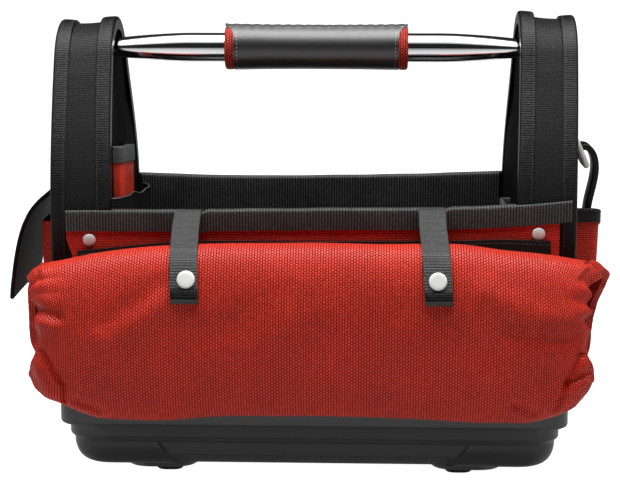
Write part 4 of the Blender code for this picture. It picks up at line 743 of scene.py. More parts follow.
def make_patch_pocket(side, name):
    """Black pocket on a wall, flat at its edges, with a sewn hem along its sagging top."""
    across = np.linspace(-PATCH_HALF, PATCH_HALF, 110)[None, :]
    share = np.linspace(0.0, 1.0, 46)[:, None]
    top = eased(-side * across, (-213.0, -171.0, -132.0, 0.0, 124.0, 174.0, 213.0),
                (206.1, 211.5, 215.4, 217.5, 218.9, 220.2, 218.0))
    up = POCKET_FOOT_Z + (top - POCKET_FOOT_Z) * share
    swell = (1 - np.abs(across / PATCH_HALF) ** 10) ** 0.5 * np.minimum(1.0, (share / 0.12)) ** 0.6
    out = PATCH_Y + (PATCH_SWELL + 0.5 * ripple(across, up, 80, 31 + side)) * swell
    hem = mirrored(stack(across, -out - 0.7 * swell, up)[-6:], 1, side > 0)
    cloth(name + "_patch_pocket", "pocket", mirrored(stack(across, -out, up), 1, side > 0), 1.3,
          (name + "_pocket",))
    cloth(name + "_pocket_hem", "pocket", hem, 0.8)
    stitches(name + "_hem_stitches", hem[-2] + (0.0, 0.2 * side, 0.0), (0, side, 0))


# Hoops
def arch_line(foot_z, count):
    """Outline of a gusset from its front foot to its back foot, and the directions out of it."""
    centre_z = ARCH_TOP_Z - ARCH_RADIUS
    angle = np.linspace(CROWN_ANGLE, math.pi / 2, 40)
    crown = np.stack((ARCH_RADIUS * np.cos(angle), centre_z + ARCH_RADIUS * np.sin(angle)), axis=-1)
    start, end = np.array((GUSSET_Y, ARCH_SPRING_Z)), crown[0]
    first = start + (0.0, SPRING_PULL)
    second = end + np.array((math.sin(CROWN_ANGLE), -math.cos(CROWN_ANGLE))) * CROWN_PULL
    t = np.linspace(0.0, 1.0, 40)[:, None]
    flank = start * (1 - t) ** 3 + first * 3 * t * (1 - t) ** 2 + second * 3 * t * t * (1 - t) + end * t ** 3
    half = np.vstack(((GUSSET_Y, foot_z), flank, crown[1:]))
    line = resample(np.vstack((half * (-1, 1), half[::-1][1:])), count)
    along = headings(line)
    return line, np.stack((-along[:, 1], along[:, 0]), axis=-1)


def hoop_pull(name, z, share):
    """Sideways and upward pull of a hoop, from its inner edge (share 0) to its outer edge (1)."""
    lean = soft_part(z, 245.0, 404.0)
    foot = soft_part(z, 74.0, 114.0)
    inner, outer = HOOP_PULLS[name]
    aside = (inner[0] * foot + inner[1] * lean) * (1 - share) + (outer[0] * foot + outer[1] * lean) * share
    return (aside - 3.0 * (1 - foot) * share,
            (inner[2] * (1 - share) + outer[2] * share) * soft_part(z, 345.0, 405.0))


def tape_line(side, name, share, count, x=0.0, out=0.0):
    """Line round a hoop's edge, pulled with the hoop, and the directions out of it."""
    line, outs = arch_line(BINDING_FOOT_Z, count)
    aside, up = hoop_pull(name, line[:, 1], share)
    line = line + outs * out
    return stack(side * (x + aside), line[:, 0], line[:, 1] + up), stack(0.0, outs[:, 0], outs[:, 1])


def make_gusset(side, name):
    """Padded outside of a hoop, swelling between its two bindings and sagging at its crown."""
    line, outs = arch_line(WALL_FOOT_Z, 200)
    share = np.linspace(0.0, 1.0, 21)
    bulge = np.sin(share * math.pi) ** 0.7
    share = np.concatenate((share, share[::-1], share[:1]))
    aside, up = hoop_pull(name, line[:, 1:], share)
    swell = 1.3 * bulge - 3.6 * part(line[:, 1:], 360.0, 404.0) * bulge
    lift = np.concatenate((swell, np.full((200, 21), -4.5), swell[:, :1]), axis=1)
    table = stack(side * (182.2 + 47.4 * share + aside), line[:, :1] + outs[:, :1] * lift,
                  line[:, 1:] + outs[:, 1:] * lift + up)
    dress(solid(name + "_padded_gusset", table), "hoop", "root", (name + "_gusset",), 50)


def make_bindings(side, name):
    """Tape folded over both edges of a hoop, thinner towards its sewn edge, and its stitches."""
    for edge_x, inward, share, which in ((HOOP_INNER_X, 1, 0.0, "inner"), (HOOP_OUTER_X, -1, 1.0, "outer")):
        profile = rounded([(out, edge_x + inward * reach) for out, reach in (
            (2.9, 0.0), (2.5, BINDING_WIDTH * 0.6), (1.7, BINDING_WIDTH), (-0.4, BINDING_WIDTH), (-0.4, 1.3),
            (-9.0, 1.3), (-9.0, 0.0))], (3.4, 5.0, 1.1, 0.5, 0.5, 0.6, 0.6), 6)
        line, outs = tape_line(side, name, share, 220)
        strip(f"{name}_{which}_tape", "binding", line, outs, (side, 0, 0), profile,
              stands_for=(f"{name}_{which}_binding",))
        seam, outs = tape_line(side, name, share, 400, edge_x + inward * (BINDING_WIDTH - 2.2), 1.9)
        stitches(f"{name}_{which}_tape_stitches", seam, outs, pitch=3.0, length=1.9, width=0.6)


def hoop_panel(panel_name, side, name, place, outward, bulges):
    """Padded face of a hoop, drawn in along the binding, with one bulge low down and one high up."""
    line, outs = arch_line(WALL_FOOT_Z, 119)
    line = (line - outs * 2.8)[:60]
    across = np.linspace(-1.0, 1.0, 33)
    y = np.maximum(0.0, -line[:, :1]) * across
    z = line[:, 1:] + 0.0 * across
    aside, up = hoop_pull(name, z, float(outward == side))
    edge = (1 - across ** 4) * np.minimum(1.0, (ARCH_TOP_Z - z) / 24.0)
    bulge = np.interp(z, (290.0, 322.0), bulges)
    out = side * (place + aside) + outward * bulge * edge * (0.8 + 0.2 * ripple(y, z, 70, 41))
    table = stack(out, y, z + up)
    item = lay_grid(panel_name, table[:, ::-1] if outward < 0 else table)
    modify(item, "SOLIDIFY", thickness=1.6 * MM, offset=-1.0)
    return close_up(item)


def make_hoop(side, name):
    """Padded hoop: gusset, bindings, two faces and the lining's tongue down into the tray."""
    make_gusset(side, name)
    make_bindings(side, name)
    inner = hoop_panel(name + "_inner_face", side, name, INNER_FACE_X, -side, (1.0, -5.5))
    angle = np.linspace(0.0, TURN, 49)[:-1]
    wide, high = HANDLE_HOLE
    cut(inner, block("hole_tool", [stack(side * x, wide * np.cos(angle), TUBE_Z + high * np.sin(angle))
                                   for x in (178.0, 199.0)]))
    dress(inner, "lining", "root", (name + "_inner_panel", name + "_foam_core"), 60)
    outer = hoop_panel(name + "_outer_face", side, name, OUTER_FACE_X, side, (1.2, 1.2))
    dress(outer, "hoop", "root", (name + "_outer_panel",), 60)
    tongue = stack(182.0, np.linspace(-73.4, 73.4, 20), np.linspace(15.8, 50.0, 6)[:, None])[:, ::-1]
    cloth(name + "_lining_tongue", "lining", mirrored(tongue, 0, side < 0), 1.6)


# Handle
def on_handle(x, radius, angle):
    """Points round the middle of the handle."""
    return stack(x, radius * np.cos(angle), TUBE_Z + radius * np.sin(angle))


def make_tube():
    """Chrome tube, round in the middle and pressed down towards its ends."""
    x = np.concatenate((np.linspace(-TUBE_END_X, -80.0, 60), np.linspace(80.0, TUBE_END_X, 60)))[:, None]
    angle = np.linspace(0.0, TURN, 65)
    places, heights, widths = TUBE_STATIONS.T
    table = stack(x, eased(np.abs(x), places, widths) * np.cos(angle),
                  TUBE_Z + eased(np.abs(x), places, heights) * np.sin(angle))
    dress(solid("chrome_handle_tube", table), "chrome", stands_for=("handle_tube",))


def make_grip():
    """Mesh sleeve over foam, thicker at its two ends, where the leather leaves it bare."""
    end = ((13.7, -GRIP_HALF), (GRIP_MESH_RADIUS, -GRIP_HALF), (GRIP_MESH_RADIUS, 7.5 - GRIP_HALF),
           (17.8, 11.0 - GRIP_HALF))
    profile = rounded(end + tuple((radius, -x) for radius, x in end[::-1]),
                      (1.0, 4.5, 2.0, 1.0, 1.0, 2.0, 4.5, 1.0), 8)
    profile = np.vstack((profile, profile[:1]))
    table = on_handle(profile[:, 1:], profile[:, :1], np.linspace(0.0, TURN, 65))
    dress(solid("grip_mesh_sleeve", table), "mesh", stands_for=("grip_foam", "grip_liner"))


def from_seam(angle):
    """Angle between a place on the leather and the seam on top of the handle."""
    return np.abs((angle - TURN / 4 + math.pi) % TURN - math.pi)


def leather_reach(angle):
    """Half length of the leather at an angle round the handle: its corners flare at the seam."""
    flare = np.exp(-((from_seam(angle) - 0.11) / 0.42) ** 2)
    return GRIP_HALF - LEATHER_MARGIN * (1 - flare)


def leather_radius(angle, x):
    """Leather over the foam: drawn in at its middle, raised where its two edges meet on top."""
    lift = 1.8 * np.exp(-(from_seam(angle) / 0.30) ** 2)
    back = np.where((angle % TURN > TURN / 4) & (angle % TURN < TURN / 2), 1.0, 0.5)
    pucker = 0.3 * np.exp(-(from_seam(angle) / 0.5) ** 2) * np.sin(x * TURN / 9.5)
    return (LEATHER_RADIUS + 0.9 * (x / GRIP_HALF) ** 2 + lift * back + pucker
            + 0.15 * ripple(x, angle * 20, 45, 57))


def make_grip_leather():
    """Leather wrapped round the grip and laced on top, with a row of stitches at each end."""
    angle = TURN / 4 + 0.10 + (TURN - 0.20) * np.linspace(0.0, 1.0, 97)[None, :]
    x = np.linspace(-1.0, 1.0, 90)[:, None] * leather_reach(angle)
    cloth("grip_leather_wrap", "leather", on_handle(x, leather_radius(angle, x), angle)[:, ::-1], 1.1,
          ("grip_leather",), 50)
    turn = TURN / 4 + 0.25 + (TURN - 0.5) * np.linspace(0.0, 1.0, 160)
    for side, name in SIDES:
        place = side * (leather_reach(turn) - 3.2)
        stitches("grip_stitches_" + name, on_handle(place, leather_radius(turn, place) + 0.75, turn),
                 stack(0.0, np.cos(turn), np.sin(turn)), "thread", pitch=3.6, length=2.2, width=0.9)
    lacing = [(place, -3.0 if number % 2 else 3.0, TUBE_Z + LEATHER_RADIUS + 2.0)
              for number, place in enumerate(np.arange(-78.0, 78.1, 3.2))]
    stitches("grip_lacing", resample(lacing, 400), (0, 0, 1), "red_thread", pitch=2.2, length=2.4, width=0.9)


# Rolled cover
def roll_sizes(share):
    """Top, bottom, depth and back of the roll, at a share of its half length."""
    right = share > 0
    share = np.minimum(np.abs(share), 1.0)
    drop_left, drop_right, rise_left, rise_right, loss = (eased(share, ROLL_STATIONS[:, 0], column)
                                                          for column in ROLL_STATIONS.T[1:])
    wrap = 20.0 * soft_part(share, 0.945, 0.975)
    return (ROLL_TOP_Z - np.where(right, drop_right, drop_left),
            ROLL_BOTTOM_Z + np.where(right, rise_right, rise_left),
            ROLL_DEPTH * (1 - loss) + wrap, ROLL_BACK_Y + wrap)


def roll_section(share, angle, swell=0.0):
    """Y and Z on the roll's skin: angle 0 is its front, a quarter turn its top.

    Its upper front leans back and its lower front stands upright.
    """
    top, bottom, depth, back = roll_sizes(share)
    cosine, sine = np.cos(angle), np.sin(angle)
    flat = np.where((sine > 0) & (cosine > 0), 0.96, 0.72)
    tall = np.where(sine > 0, 0.90, 0.77)
    along = np.sign(cosine) * np.abs(cosine) ** flat * (depth / 2 + swell)
    up = np.sign(sine) * np.abs(sine) ** tall * ((top - bottom) / 2 + swell)
    return back - depth / 2 - along, (top + bottom) / 2 + up


def pressed_folds(x, z):
    """Depth of the folds in the front of the roll at each place."""
    total = 0.0
    for depth, half_width, line in ROLL_FOLDS:
        nearest = np.inf
        for (x1, z1), (x2, z2) in zip(line[:-1], line[1:]):
            span = (x2 - x1) ** 2 + (z2 - z1) ** 2
            t = np.clip(((x - x1) * (x2 - x1) + (z - z1) * (z2 - z1)) / span, 0.0, 1.0)
            nearest = np.minimum(nearest, (x - x1 - t * (x2 - x1)) ** 2 + (z - z1 - t * (z2 - z1)) ** 2)
        total = total + depth * np.exp(-nearest / half_width ** 2)
    return total


def make_roll():
    """Cover rolled up in front of the pocket, its two ends gathered, ragged and hollow."""
    angle = np.linspace(0.0, TURN, 261)[None, :] - TURN / 4
    body = np.concatenate((np.linspace(-1.0, -0.7, 90), np.linspace(-0.7, 0.7, 150)[1:-1],
                           np.linspace(0.7, 1.0, 90)))
    cap = np.linspace(0.0, 1.0, 26)[1:]
    share = np.concatenate((-1.0 - cap[::-1], body, 1.0 + cap))[:, None]
    # Past its ends the share runs on inwards, down the hollow
    inside = np.clip(np.abs(share) - 1.0, 0.0, 1.0)
    on_body = np.clip(share, -1.0, 1.0)
    end = np.sign(share)
    gathered = part(np.abs(on_body), 0.80, 1.0) ** 2
    warp = angle + 0.35 * np.sin(2 * angle + 1.1 * end) + 0.2 * np.sin(3 * angle + 2.0 * end)
    pleats = np.abs(np.sin(5.0 * warp + 0.6 * end)) ** 0.8 - 0.7
    crumple = ripple(angle * 45 + 30 * end, on_body * 120, 17, 75)
    swell = gathered * (3.0 * pleats + 1.1 * crumple)
    give = 0.4 * ripple(on_body * ROLL_HALF, angle * 45, 85, 71) * (1 - gathered)
    y, z = roll_section(on_body, angle, swell + give)
    degrees = (np.degrees(angle) + 90.0) % 360.0 - 90.0
    reach = np.where(end < 0, eased(degrees, *ROLL_LEFT_END.T), eased(degrees, *ROLL_RIGHT_END.T))
    drawn = part(np.abs(on_body), 0.72, 1.0) ** 2
    x = on_body * ROLL_HALF + end * drawn * (reach - ROLL_HALF + 0.8 * ripple(angle * 45, 0 * angle, 9, 77))
    y = y + pressed_folds(x, z) * part(-y, 135.0, 150.0)
    top, bottom, depth, back = roll_sizes(on_body)
    centre_y, centre_z = back - depth * 0.5, (top + bottom) / 2
    mouth = part(inside, 0.0, 0.16)
    shrink = (1.0 - 0.10 * mouth) * (1 - 0.96 * part(inside, 0.45, 1.0))
    x = x + end * 1.6 * np.sin(math.pi * mouth) - end * ROLL_HOLLOW * part(inside, 0.10, 1.0) ** 0.8
    table = stack(x, centre_y + (y - centre_y) * shrink, centre_z + (z - centre_z) * shrink)
    dress(solid("rolled_cover", table[:, ::-1]), "cover", "root", ("cover_roll",), 80)
    # Sheets just inside the hollow ends, in the darker inside finish: painted shade of the hollow
    middle = stack(x, centre_y, centre_z)
    liner = middle + (table - middle) * 0.97
    cloth("rolled_cover_inside_left", "cover_inside", liner[1:22], 0.6)
    cloth("rolled_cover_inside_right", "cover_inside", liner[-22:-1], 0.6)


# Straps and snaps
def strap_line(x, rise):
    """A strap's middle in Y and Z: from its foot inside, over the rim, taut to the roll and down it."""
    angle = np.linspace(math.radians(106), math.radians(4), 300)
    down = np.stack(roll_section(x / ROLL_HALF, angle), axis=-1)
    along = headings(down)
    outs = np.stack((along[:, 1], -along[:, 0]), axis=-1)
    if outs[0, 1] < 0:
        outs = -outs
    travel = np.clip((ROLL_TOP_Z - down[:, 1:]) / (ROLL_TOP_Z - STRAP_END_Z), 0.0, 1.0)
    down = down + outs * (1.5 + 3.6 * travel)
    edge = np.array((-105.4, RIM_Z + rise + 0.8))
    slopes = (down[:, 1] - edge[1]) / np.maximum(edge[0] - down[:, 0], 0.1) - (down[:, 0] > -112) * 100
    down = down[int(np.argmax(slopes)):]
    down = down[down[:, 1] > STRAP_END_Z]
    foot = down[-1] + np.array(((-0.2, -2.0), (0.6, -3.8), (2.0, -5.0), (3.6, -5.6)))
    over = rounded(((-92.8, 213.8), (-92.8, edge[1] + 0.2), edge + (0.2, 0.2), down[0]),
                   (4.0, 4.0, 3.0, 3.0), 6, closed=False)
    return resample(np.vstack((over[:-1], down, foot)), 170)


def make_strap(side, name):
    """Webbing strap that bends at the rim, with a sewn hem and a snap cap at its end."""
    line = strap_line(side * STRAP_X, float(rim_rise(-1, np.array([side * STRAP_X]))[0]))
    along = headings(line)
    outs = stack(0.0, -along[:, 1], along[:, 0])
    if outs[0, 1] < 0:
        outs = -outs
    places = lengths(line)
    x = np.interp(places, (places[-1] - 85.0, places[-1]), STRAP_PLACES[name])
    line = stack(x, line[:, 0], line[:, 1])
    half, thick = STRAP_HALF, STRAP_HALF_THICK
    profile = tape_profile(thick, -thick, half, 0.7)
    denser = []
    for first, second in zip(profile, np.roll(profile, -1, axis=0)):
        pieces = max(1, int(np.linalg.norm(second - first) / 3.0))
        denser += [first + (second - first) * step / pieces for step in range(pieces)]
    strap = strip(name + "_webbing_strap", "strap", line, outs, (1, 0, 0), denser, None)
    Vector(metres((side * STRAP_X, -98.0, 247.0)))
    Vector(metres((side * STRAP_X, -106.0, 244.0)))
    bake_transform(strap)
    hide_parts(name + "_strap", name + "_strap_tail")
    hem = (places > places[-1] - 14.0) & (places < places[-1] - 5.5)
    strip(name + "_strap_hem", "binding", line[hem], outs[hem], (1, 0, 0),
          tape_profile(thick + 1.3, thick - 0.1, half - 0.3, 0.5), name + "_strap", angle=40)
    index = np.searchsorted(places, places[-1] - 12.4)
    seam = line[index] + stack(np.linspace(-half + 1.0, half - 1.0, 30), 0.0, 0.0)
    stitches(name + "_strap_hem_stitches", seam + outs[index] * (thick + 1.35), outs[index], pitch=2.6,
             length=1.7, width=0.6, body=name + "_strap")
    make_snap(side, name, line, outs)


def turned_piece(name, profile, centre, axis, body, node):
    """Round nickel piece from a profile of (radius, height) points, about an axis through a centre."""
    axis = np.asarray(axis, float) / np.linalg.norm(axis)
    aside = np.cross(axis, (1.0, 0.0, 0.0))
    aside /= np.linalg.norm(aside)
    angle = np.linspace(0.0, TURN, 49)[None, :, None]
    profile = np.array(profile)[:, None]
    table = (centre + profile[..., 1:] * axis
             + profile[..., :1] * (np.cos(angle) * aside + np.sin(angle) * np.cross(axis, aside)))
    dress(solid(name, table), "nickel", body, (node,), 50)


def make_snap(side, name, line, outs):
    """Pressed snap cap: a broad, nearly flat button with a rounded edge."""
    index = int(np.argmin(np.abs(line[:, 2] - SNAP_Z) + (line[:, 1] > -106) * 1000))
    profile = [(radius, STRAP_HALF_THICK + rise) for radius, rise in (
        (0.2, -0.4), (7.2, -0.2), (7.6, 0.4), (7.8, 1.1), (7.6, 1.8), (7.0, 2.2), (6.0, 2.35), (4.0, 2.4),
        (2.0, 2.4), (0.02, 2.4))]
    turned_piece(name + "_snap_button", profile, line[index] + (2.2 if side < 0 else 0.0, 0.0, 0.0),
                 outs[index], name + "_strap", name + "_snap_cap")


def make_rivet(side, name, wall, where):
    """Domed rivet that holds a wall to a hoop, just under the rim."""
    profile = ((2.0, -8.0), (2.0, 0.2), (5.6, 0.2), (5.8, 0.7), (5.6, 1.3), (5.0, 1.7), (3.8, 2.1),
               (2.0, 2.4), (0.02, 2.5))
    centre = (side * RIVET_X, wall * WALL_Y, RIVET_FRONT_Z[name] if wall < 0 else RIVET_BACK_Z)
    turned_piece(f"{name}_{where}_dome_rivet", profile, centre, (0, wall, 0), "root",
                 f"{name}_{where}_rivet")


# Ends of the bag: flap, pockets, loop, ring
def make_flap():
    """Stiff coated flap that stands away from the left end over its pocket."""
    path = relaxed(((-234.1, 258.0), (-240.0, 255.0), (-249.0, 246.9), (-257.2, 235.8), (-263.4, 221.0),
                    (-267.5, 206.0), (-271.0, 190.0), (-275.6, 164.0), (-277.4, 153.0)), 60, 6)
    along = headings(path)
    outs = np.stack((along[:, 1], -along[:, 0]), axis=-1)
    places = (lengths(path) / lengths(path)[-1])[:, None]
    across = np.linspace(-1.0, 1.0, 41)[None, :]
    centre = path + outs * eased(places, (0.0, 0.15, 0.4, 1.0), (-1.8, -0.4, 2.0, 2.0))
    half = 70.0 - 5.0 * part(places, 0.86, 1.0) ** 2
    item = lay_grid("coated_side_flap",
                    stack(centre[:, :1] + across ** 2 * places, half * across, centre[:, 1:]))
    modify(item, "SOLIDIFY", thickness=3.6 * MM, offset=0.0)
    modify(item, "BEVEL", width=1.2 * MM, segments=3, limit_method="ANGLE", angle_limit=math.radians(50))
    dress(close_up(item), "flap", "left_flap", ("left_flap",))


def pocket_plan(reach, half_width, corner, count):
    """Plan of a pocket from its wall: place out and place across."""
    corners = ((0.0, -half_width), (reach, -half_width), (reach, half_width), (0.0, half_width))
    return resample(rounded(corners, (1.0, corner, corner, 1.0), 8, closed=False), count)


def make_end_pocket(side, name, reach, half_y, top_z, foot_share, node, back_drop=0.0):
    """Red pocket on an end of the bag, narrower at its foot, its mouth sloping down to the back."""
    heights = np.concatenate(([POCKET_FOOT_Z], np.linspace(POCKET_FOOT_Z + 0.4, top_z, 40)))
    stages = (POCKET_FOOT_Z, POCKET_FOOT_Z + (top_z - POCKET_FOOT_Z) * 0.33, top_z)
    sizes = np.interp(heights, stages, (foot_share, foot_share + (1 - foot_share) * 0.75, 1.0)) * reach
    sizes[0] = 1.0
    rows = []
    for size, z in zip(sizes, heights):
        out, y = pocket_plan(size, half_y, min(8.0, size * 0.6), 60).T
        give = 0.5 * ripple(y, z + 0 * y, 60, 91 + side) * np.minimum(1.0, out / 6.0)
        drop = back_drop * (y + half_y) / (2 * half_y) * part(z, 130.0, top_z)
        rows.append(stack(END_WALL_X + out + give, y, z - drop))
    cloth(name, "panel", mirrored(np.array(rows), 0, side < 0), 1.5, (node,))


def tape_over(name, finish, line, outs, height, thickness, stands_for=()):
    """Binding tape folded over a cloth edge: the line runs along the edge's top."""
    profile = rounded(((0.3 + thickness, -height), (0.3 + thickness, 0.3 + thickness),
                       (-2.0 - thickness, 0.3 + thickness), (-2.0 - thickness, -7.0), (-2.0, -7.0),
                       (-2.0, 0.2), (0.3, 0.2), (0.3, -height)), (0.5, 1.6, 1.6, 0.5, 0.5, 0.4, 0.4, 0.5), 4)
    strip(name, finish, line, outs, (0, 0, 1), profile, stands_for=stands_for)


def line_outs(line):
    """Directions out of a line in plan, to its right."""
    along = headings(line)
    return stack(along[:, 1], -along[:, 0], 0.0)


def make_right_pocket_tape():
    """Tape over the sloping mouth of the right end pocket."""
    reach, half_y, back_drop = RIGHT_POCKET
    out, y = pocket_plan(reach, half_y, 8.0, 120).T
    line = stack(END_WALL_X + out, y, 239.0 - back_drop * (y + half_y) / (2 * half_y))
    outs = line_outs(line * (1, 1, 0))
    tape_over("right_pocket_tape", "binding", line, outs, 11.0, 1.3, ("right_pocket_binding",))
    stitches("right_pocket_stitches", line + outs * 1.65 + (0, 0, -0.4), outs, pitch=3.0, length=1.7)


def hang_tape(name, path, profile, node):
    """Tape on the right end, led along a path in X and Z."""
    along = headings(path)
    strip(name, "binding", stack(path[:, 0], HANGER_Y, path[:, 1]), stack(-along[:, 1], 0.0, along[:, 0]),
          (0, 1, 0), profile, stands_for=(node,))


def make_tool_loop():
    """Webbing loop: one strap end folded back on itself and sewn in at its foot."""
    path = ((232.4, 222.0), (233.6, 245.0), (234.6, 262.0), (235.0, 276.0), (236.2, 288.0), (240.0, 294.5),
            (246.0, 295.0), (251.0, 289.0), (253.4, 280.0), (253.2, 270.0), (251.0, 258.0), (248.6, 248.0),
            (247.0, 238.0), (246.4, 222.0))
    hang_tape("webbing_tool_loop", relaxed(path, 90, 10), tape_profile(3.9, -1.7, 12.0, 1.6), "tool_loop")


def make_ring():
    """Bent steel ring hung by its upper bar."""
    a, b = RING_HALF_WIDE, RING_HALF_HIGH
    corners = rounded(((a, -b), (a, b), (-a, b), (-a, -b)), 8.0, 10)
    plan = resample(np.vstack((corners, corners[:1])), 97)
    down = np.array((math.sin(RING_LEAN), 0.0, -math.cos(RING_LEAN)))
    across = np.array((0.0, 1.0, 0.0))
    centre = (RING_HINGE_X, HANGER_Y, RING_HINGE_Z) + plan[:, :1] * across + (plan[:, 1:] + b) * down
    along = np.roll(plan, -1, axis=0) - np.roll(plan, 1, axis=0)
    along[0] = along[-1] = plan[1] - plan[-2]
    along /= np.linalg.norm(along, axis=1)[:, None]
    outward = (along[:, 1:] * across - along[:, :1] * down)[:, None]
    angle = np.linspace(0.0, TURN, 17)[None, :, None]
    facing = np.cross(across, down)
    table = centre[:, None] + RING_BAR_RADIUS * (np.cos(angle) * outward + np.sin(angle) * facing)
    dress(solid("steel_tool_ring", table), "nickel", "tool_ring", ("tool_ring",))


def make_ring_tab():
    """Short tape sewn to the hoop and bent round the ring's upper bar."""
    angle = math.pi - TURN * 0.66 * np.linspace(0.0, 1.0, 24)
    bow = np.stack((RING_HINGE_X + 3.2 * np.cos(angle), RING_HINGE_Z + 3.2 * np.sin(angle)), axis=-1)
    path = resample(np.vstack(((230.8, 287.5), bow)), 50)
    hang_tape("ring_webbing_tab", path, tape_profile(0.6, -0.6, 8.0, 0.4), "ring_tab")


# Pockets inside
def make_flat_pocket(side, name, finish, ys, zs, depth, near_rise, node, tape_name, tape_size):
    """Flat pocket on the inside of a hoop, open on top, with its top edge bound."""
    middle, half = (ys[0] + ys[1]) / 2, (ys[1] - ys[0]) / 2
    rows = []
    for share in np.linspace(0.0, 1.0, 46):
        z = zs[0] + (zs[1] - zs[0]) * share
        reach = depth * min(1.0, 0.15 + share * 6.0)
        out, y = pocket_plan(reach, half, min(3.0, reach * 0.5), 50).T
        give = 0.3 * ripple(y, z + 0 * y, 50, 101) * np.minimum(1.0, out / 3.0)
        lift = near_rise * share * (half - y) / (2 * half)
        rows.append(stack(-(INSIDE_WALL_X - out - give), middle + y, z + lift))
    table = mirrored(np.array(rows), 0, side > 0)
    cloth(name, finish, table, 1.2, (node,))
    line = table[-1, ::-side] + (0.0, 0.0, 0.6)
    tape_over(tape_name, "pocket_binding", line, -side * line_outs(line), *tape_size)


def low_pocket_rim(share):
    """Plan of the pleated pocket at a share of its height: a low and a high bulge, a pleat between."""
    corners = [(-8.0, -84.0), (-1.0, -80.0), (4.8 * share, -54.0), (3.2 * share, -14.0), (10.0 * share, 8.0),
               (11.6 * share, 36.0), (7.0 * share, 60.0), (0.0, 80.0)]
    return resample(rounded(corners, (1.0, 5.0, 8.0, 2.0, 5.0, 4.0, 8.0, 1.0), 6, closed=False), 100)


def make_low_pocket():
    """Black pocket with a pleat, its rim dipping there, edged with a thin cord of thread."""
    out, y = low_pocket_rim(0.55).T
    rows = [stack(LOW_POCKET_X + 0.1 * out, y, LOW_POCKET_FOOT_Z - 0.2)]
    for share in np.linspace(0.0, 1.0, 44):
        out, y = low_pocket_rim(0.55 + 0.45 * share).T
        dip = 2.5 * np.exp(-(y / 10.0) ** 2) * share ** 6
        height = 124.0 + 10.0 * (80.0 - y) / 160.0
        rows.append(stack(LOW_POCKET_X + out, y, LOW_POCKET_FOOT_Z + height * share - dip))
    cloth("pleated_low_pocket", "pocket", np.array(rows), 1.3, ("left_low_pocket",))
    line = rows[-1] + (0.0, 0.0, 0.4)
    angle = np.linspace(0.0, TURN, 9)[:-1]
    profile = np.stack((0.9 * np.cos(angle) - 0.6, 0.7 * np.sin(angle)), axis=-1)
    strip("low_pocket_piping", "hem_thread", line, line_outs(line), (0, 0, 1), profile)


# Floor, lights, camera
def make_floor():
    """White floor that looks even to the camera and mirrors more darkly in the bag."""
    bpy.ops.object.select_all(action="DESELECT")
    bpy.ops.mesh.primitive_plane_add(size=40)
    floor = bpy.context.object
    floor.name = "floor"
    material = bpy.data.materials.new("white_floor")
    material.use_nodes = True
    tree = material.node_tree
    tree.nodes.clear()
    rays = add(tree, "LightPath").outputs
    seen = add(tree, "Math", {0: rays["Is Camera Ray"], 1: rays["Is Transmission Ray"]}, operation="MAXIMUM")
    level = add(tree, "Math", {0: rays["Is Glossy Ray"], 1: MIRRORED_GLOW, 2: seen},
                operation="MULTIPLY_ADD")
    both = add(tree, "AddShader", {0: add(tree, "BsdfDiffuse", {"Color": grey(0.5)}),
                                   1: add(tree, "Emission", {"Color": grey(1), "Strength": level})})
    add(tree, "OutputMaterial", {"Surface": both})
    floor.data.materials.append(material)


def sky_levels(tree, share, stops):
    """Brightness by direction: share 0 is straight ahead of the camera's side, 0.5 overhead, 1 behind."""
    ramp = add(tree, "ValToRGB", {"Fac": share})
    elements = ramp.color_ramp.elements
    while len(elements) < len(stops):
        elements.new(0.5)
    for element, (position, level) in zip(elements, stops):
        element.position = position
        element.color = grey(level)
    return add(tree, "Background", {"Color": ramp, "Strength": 1.0})


def make_world():
    """White behind the bag, a bright panel overhead and a dark room in front of it."""
    world = bpy.data.worlds.new("studio")
    bpy.context.scene.world = world
    world.use_nodes = True
    tree = world.node_tree
    tree.nodes.clear()
    parts = add(tree, "SeparateXYZ", {"Vector": add(tree, "TexCoord").outputs["Generated"]}).outputs
    ahead = add(tree, "Math", {0: parts["Y"], 1: -1.0}, operation="MULTIPLY")
    angle = add(tree, "Math", {0: parts["Z"], 1: ahead}, operation="ARCTAN2")
    share = add(tree, "Math", {0: angle, 1: math.pi}, operation="DIVIDE")
    lit = sky_levels(tree, share, ((0.0, 0.03), (0.34, 0.03), (0.42, 0.6), (0.66, 0.6), (0.78, 0.1),
                                   (1.0, 0.1)))
    mirror = sky_levels(tree, share, ((0.0, 0.02), (0.21, 0.02), (0.25, 1.05), (0.47, 1.2), (0.64, 1.15),
                                      (0.67, 0.03), (1.0, 0.03)))
    rays = add(tree, "LightPath").outputs
    pick = add(tree, "MixShader", {"Fac": rays["Is Glossy Ray"], 1: lit, 2: mirror})
    white = add(tree, "Background", {"Color": grey(1), "Strength": 1.0})
    pick = add(tree, "MixShader", {"Fac": rays["Is Camera Ray"], 1: pick, 2: white})
    add(tree, "OutputWorld", {"Surface": pick})


def place_item(name, data, place, rotation):
    """Put a lamp or a camera in the scene."""
    item = bpy.data.objects.new(name, data)
    bpy.context.scene.collection.objects.link(item)
    item.location = place
    item.rotation_euler = rotation
    return item


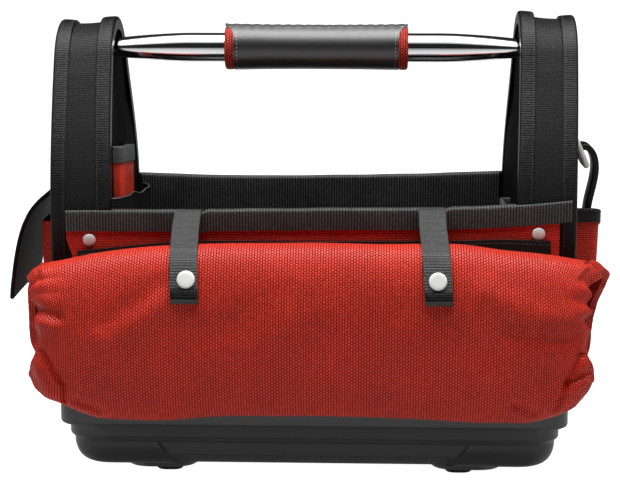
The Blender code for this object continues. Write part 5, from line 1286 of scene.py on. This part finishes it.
def make_lamp():
    """Broad lamp overhead, a little to the front, turned down at the bag."""
    lamp = bpy.data.lights.new("overhead_panel", "AREA")
    lamp.shape = "RECTANGLE"
    lamp.size, lamp.size_y = 1.9, 1.2
    lamp.energy = 48.0
    place, target = Vector((0.0, -0.18, 1.7)), Vector((0.0, -0.1, 0.2))
    place_item("overhead_panel", lamp, place, (target - place).to_track_quat("-Z", "Y").to_euler())


def make_camera():
    """Camera at the photograph's viewing angle."""
    camera = bpy.data.cameras.new("photo_camera")
    camera.lens = CAMERA_LENS_MM
    camera.sensor_width = 36.0
    bpy.context.scene.camera = place_item("photo_camera", camera, CAMERA_PLACE, (
        math.radians(90 - CAMERA_PITCH), 0.0, math.radians(CAMERA_HEADING)))


make_camera()
make_floor()
make_world()
make_lamp()
bpy.context.scene.view_settings.view_transform = "Standard"

make_base()
for side, name in SIDES:
    treads = ((-3.0, -5.0), (-1.0, -4.7), (-0.2, -3.8), (0.0, -2.6), (0.0, -1.3))
    runner = plates(name + "_runner_tread", side * RUNNER_X, 12.5, 77, 9.0, treads)
    dress(runner, "rubber", stands_for=(name + "_runner",))
for side, name in ((-1, "front"), (1, "back")):
    make_wall(side, name)
    make_rim(side, name)
    make_patch_pocket(side, name)
for side, name in SIDES:
    make_hoop(side, name)
make_tube()
make_grip()
make_grip_leather()
make_roll()
for side, name in SIDES:
    make_strap(side, name)
for side, name in SIDES:
    make_rivet(side, name, -1, "front")
    make_rivet(side, name, 1, "back")
make_flap()
make_end_pocket(-1, "left_red_end_pocket", 19.5, 62.0, 226.0, 1.0, "left_end_pocket")
make_end_pocket(1, "right_red_end_pocket", *RIGHT_POCKET[:2], 240.0, 0.6, "right_end_pocket",
                RIGHT_POCKET[2])
make_right_pocket_tape()
make_tool_loop()
make_ring()
make_ring_tab()
make_flat_pocket(-1, "tall_red_pocket", "inner_red", (-67.0, 12.0), (120.0, 286.0), 7.6, 8.0,
                 "left_tall_pocket", "tall_pocket_tape", (14.0, 0.9))
make_low_pocket()
make_flat_pocket(1, "small_black_pocket", "pocket", (-76.0, -2.0), (130.0, 239.0), 9.0, 0.0,
                 "right_inner_pocket", "small_pocket_tape", (6.0, 0.8))
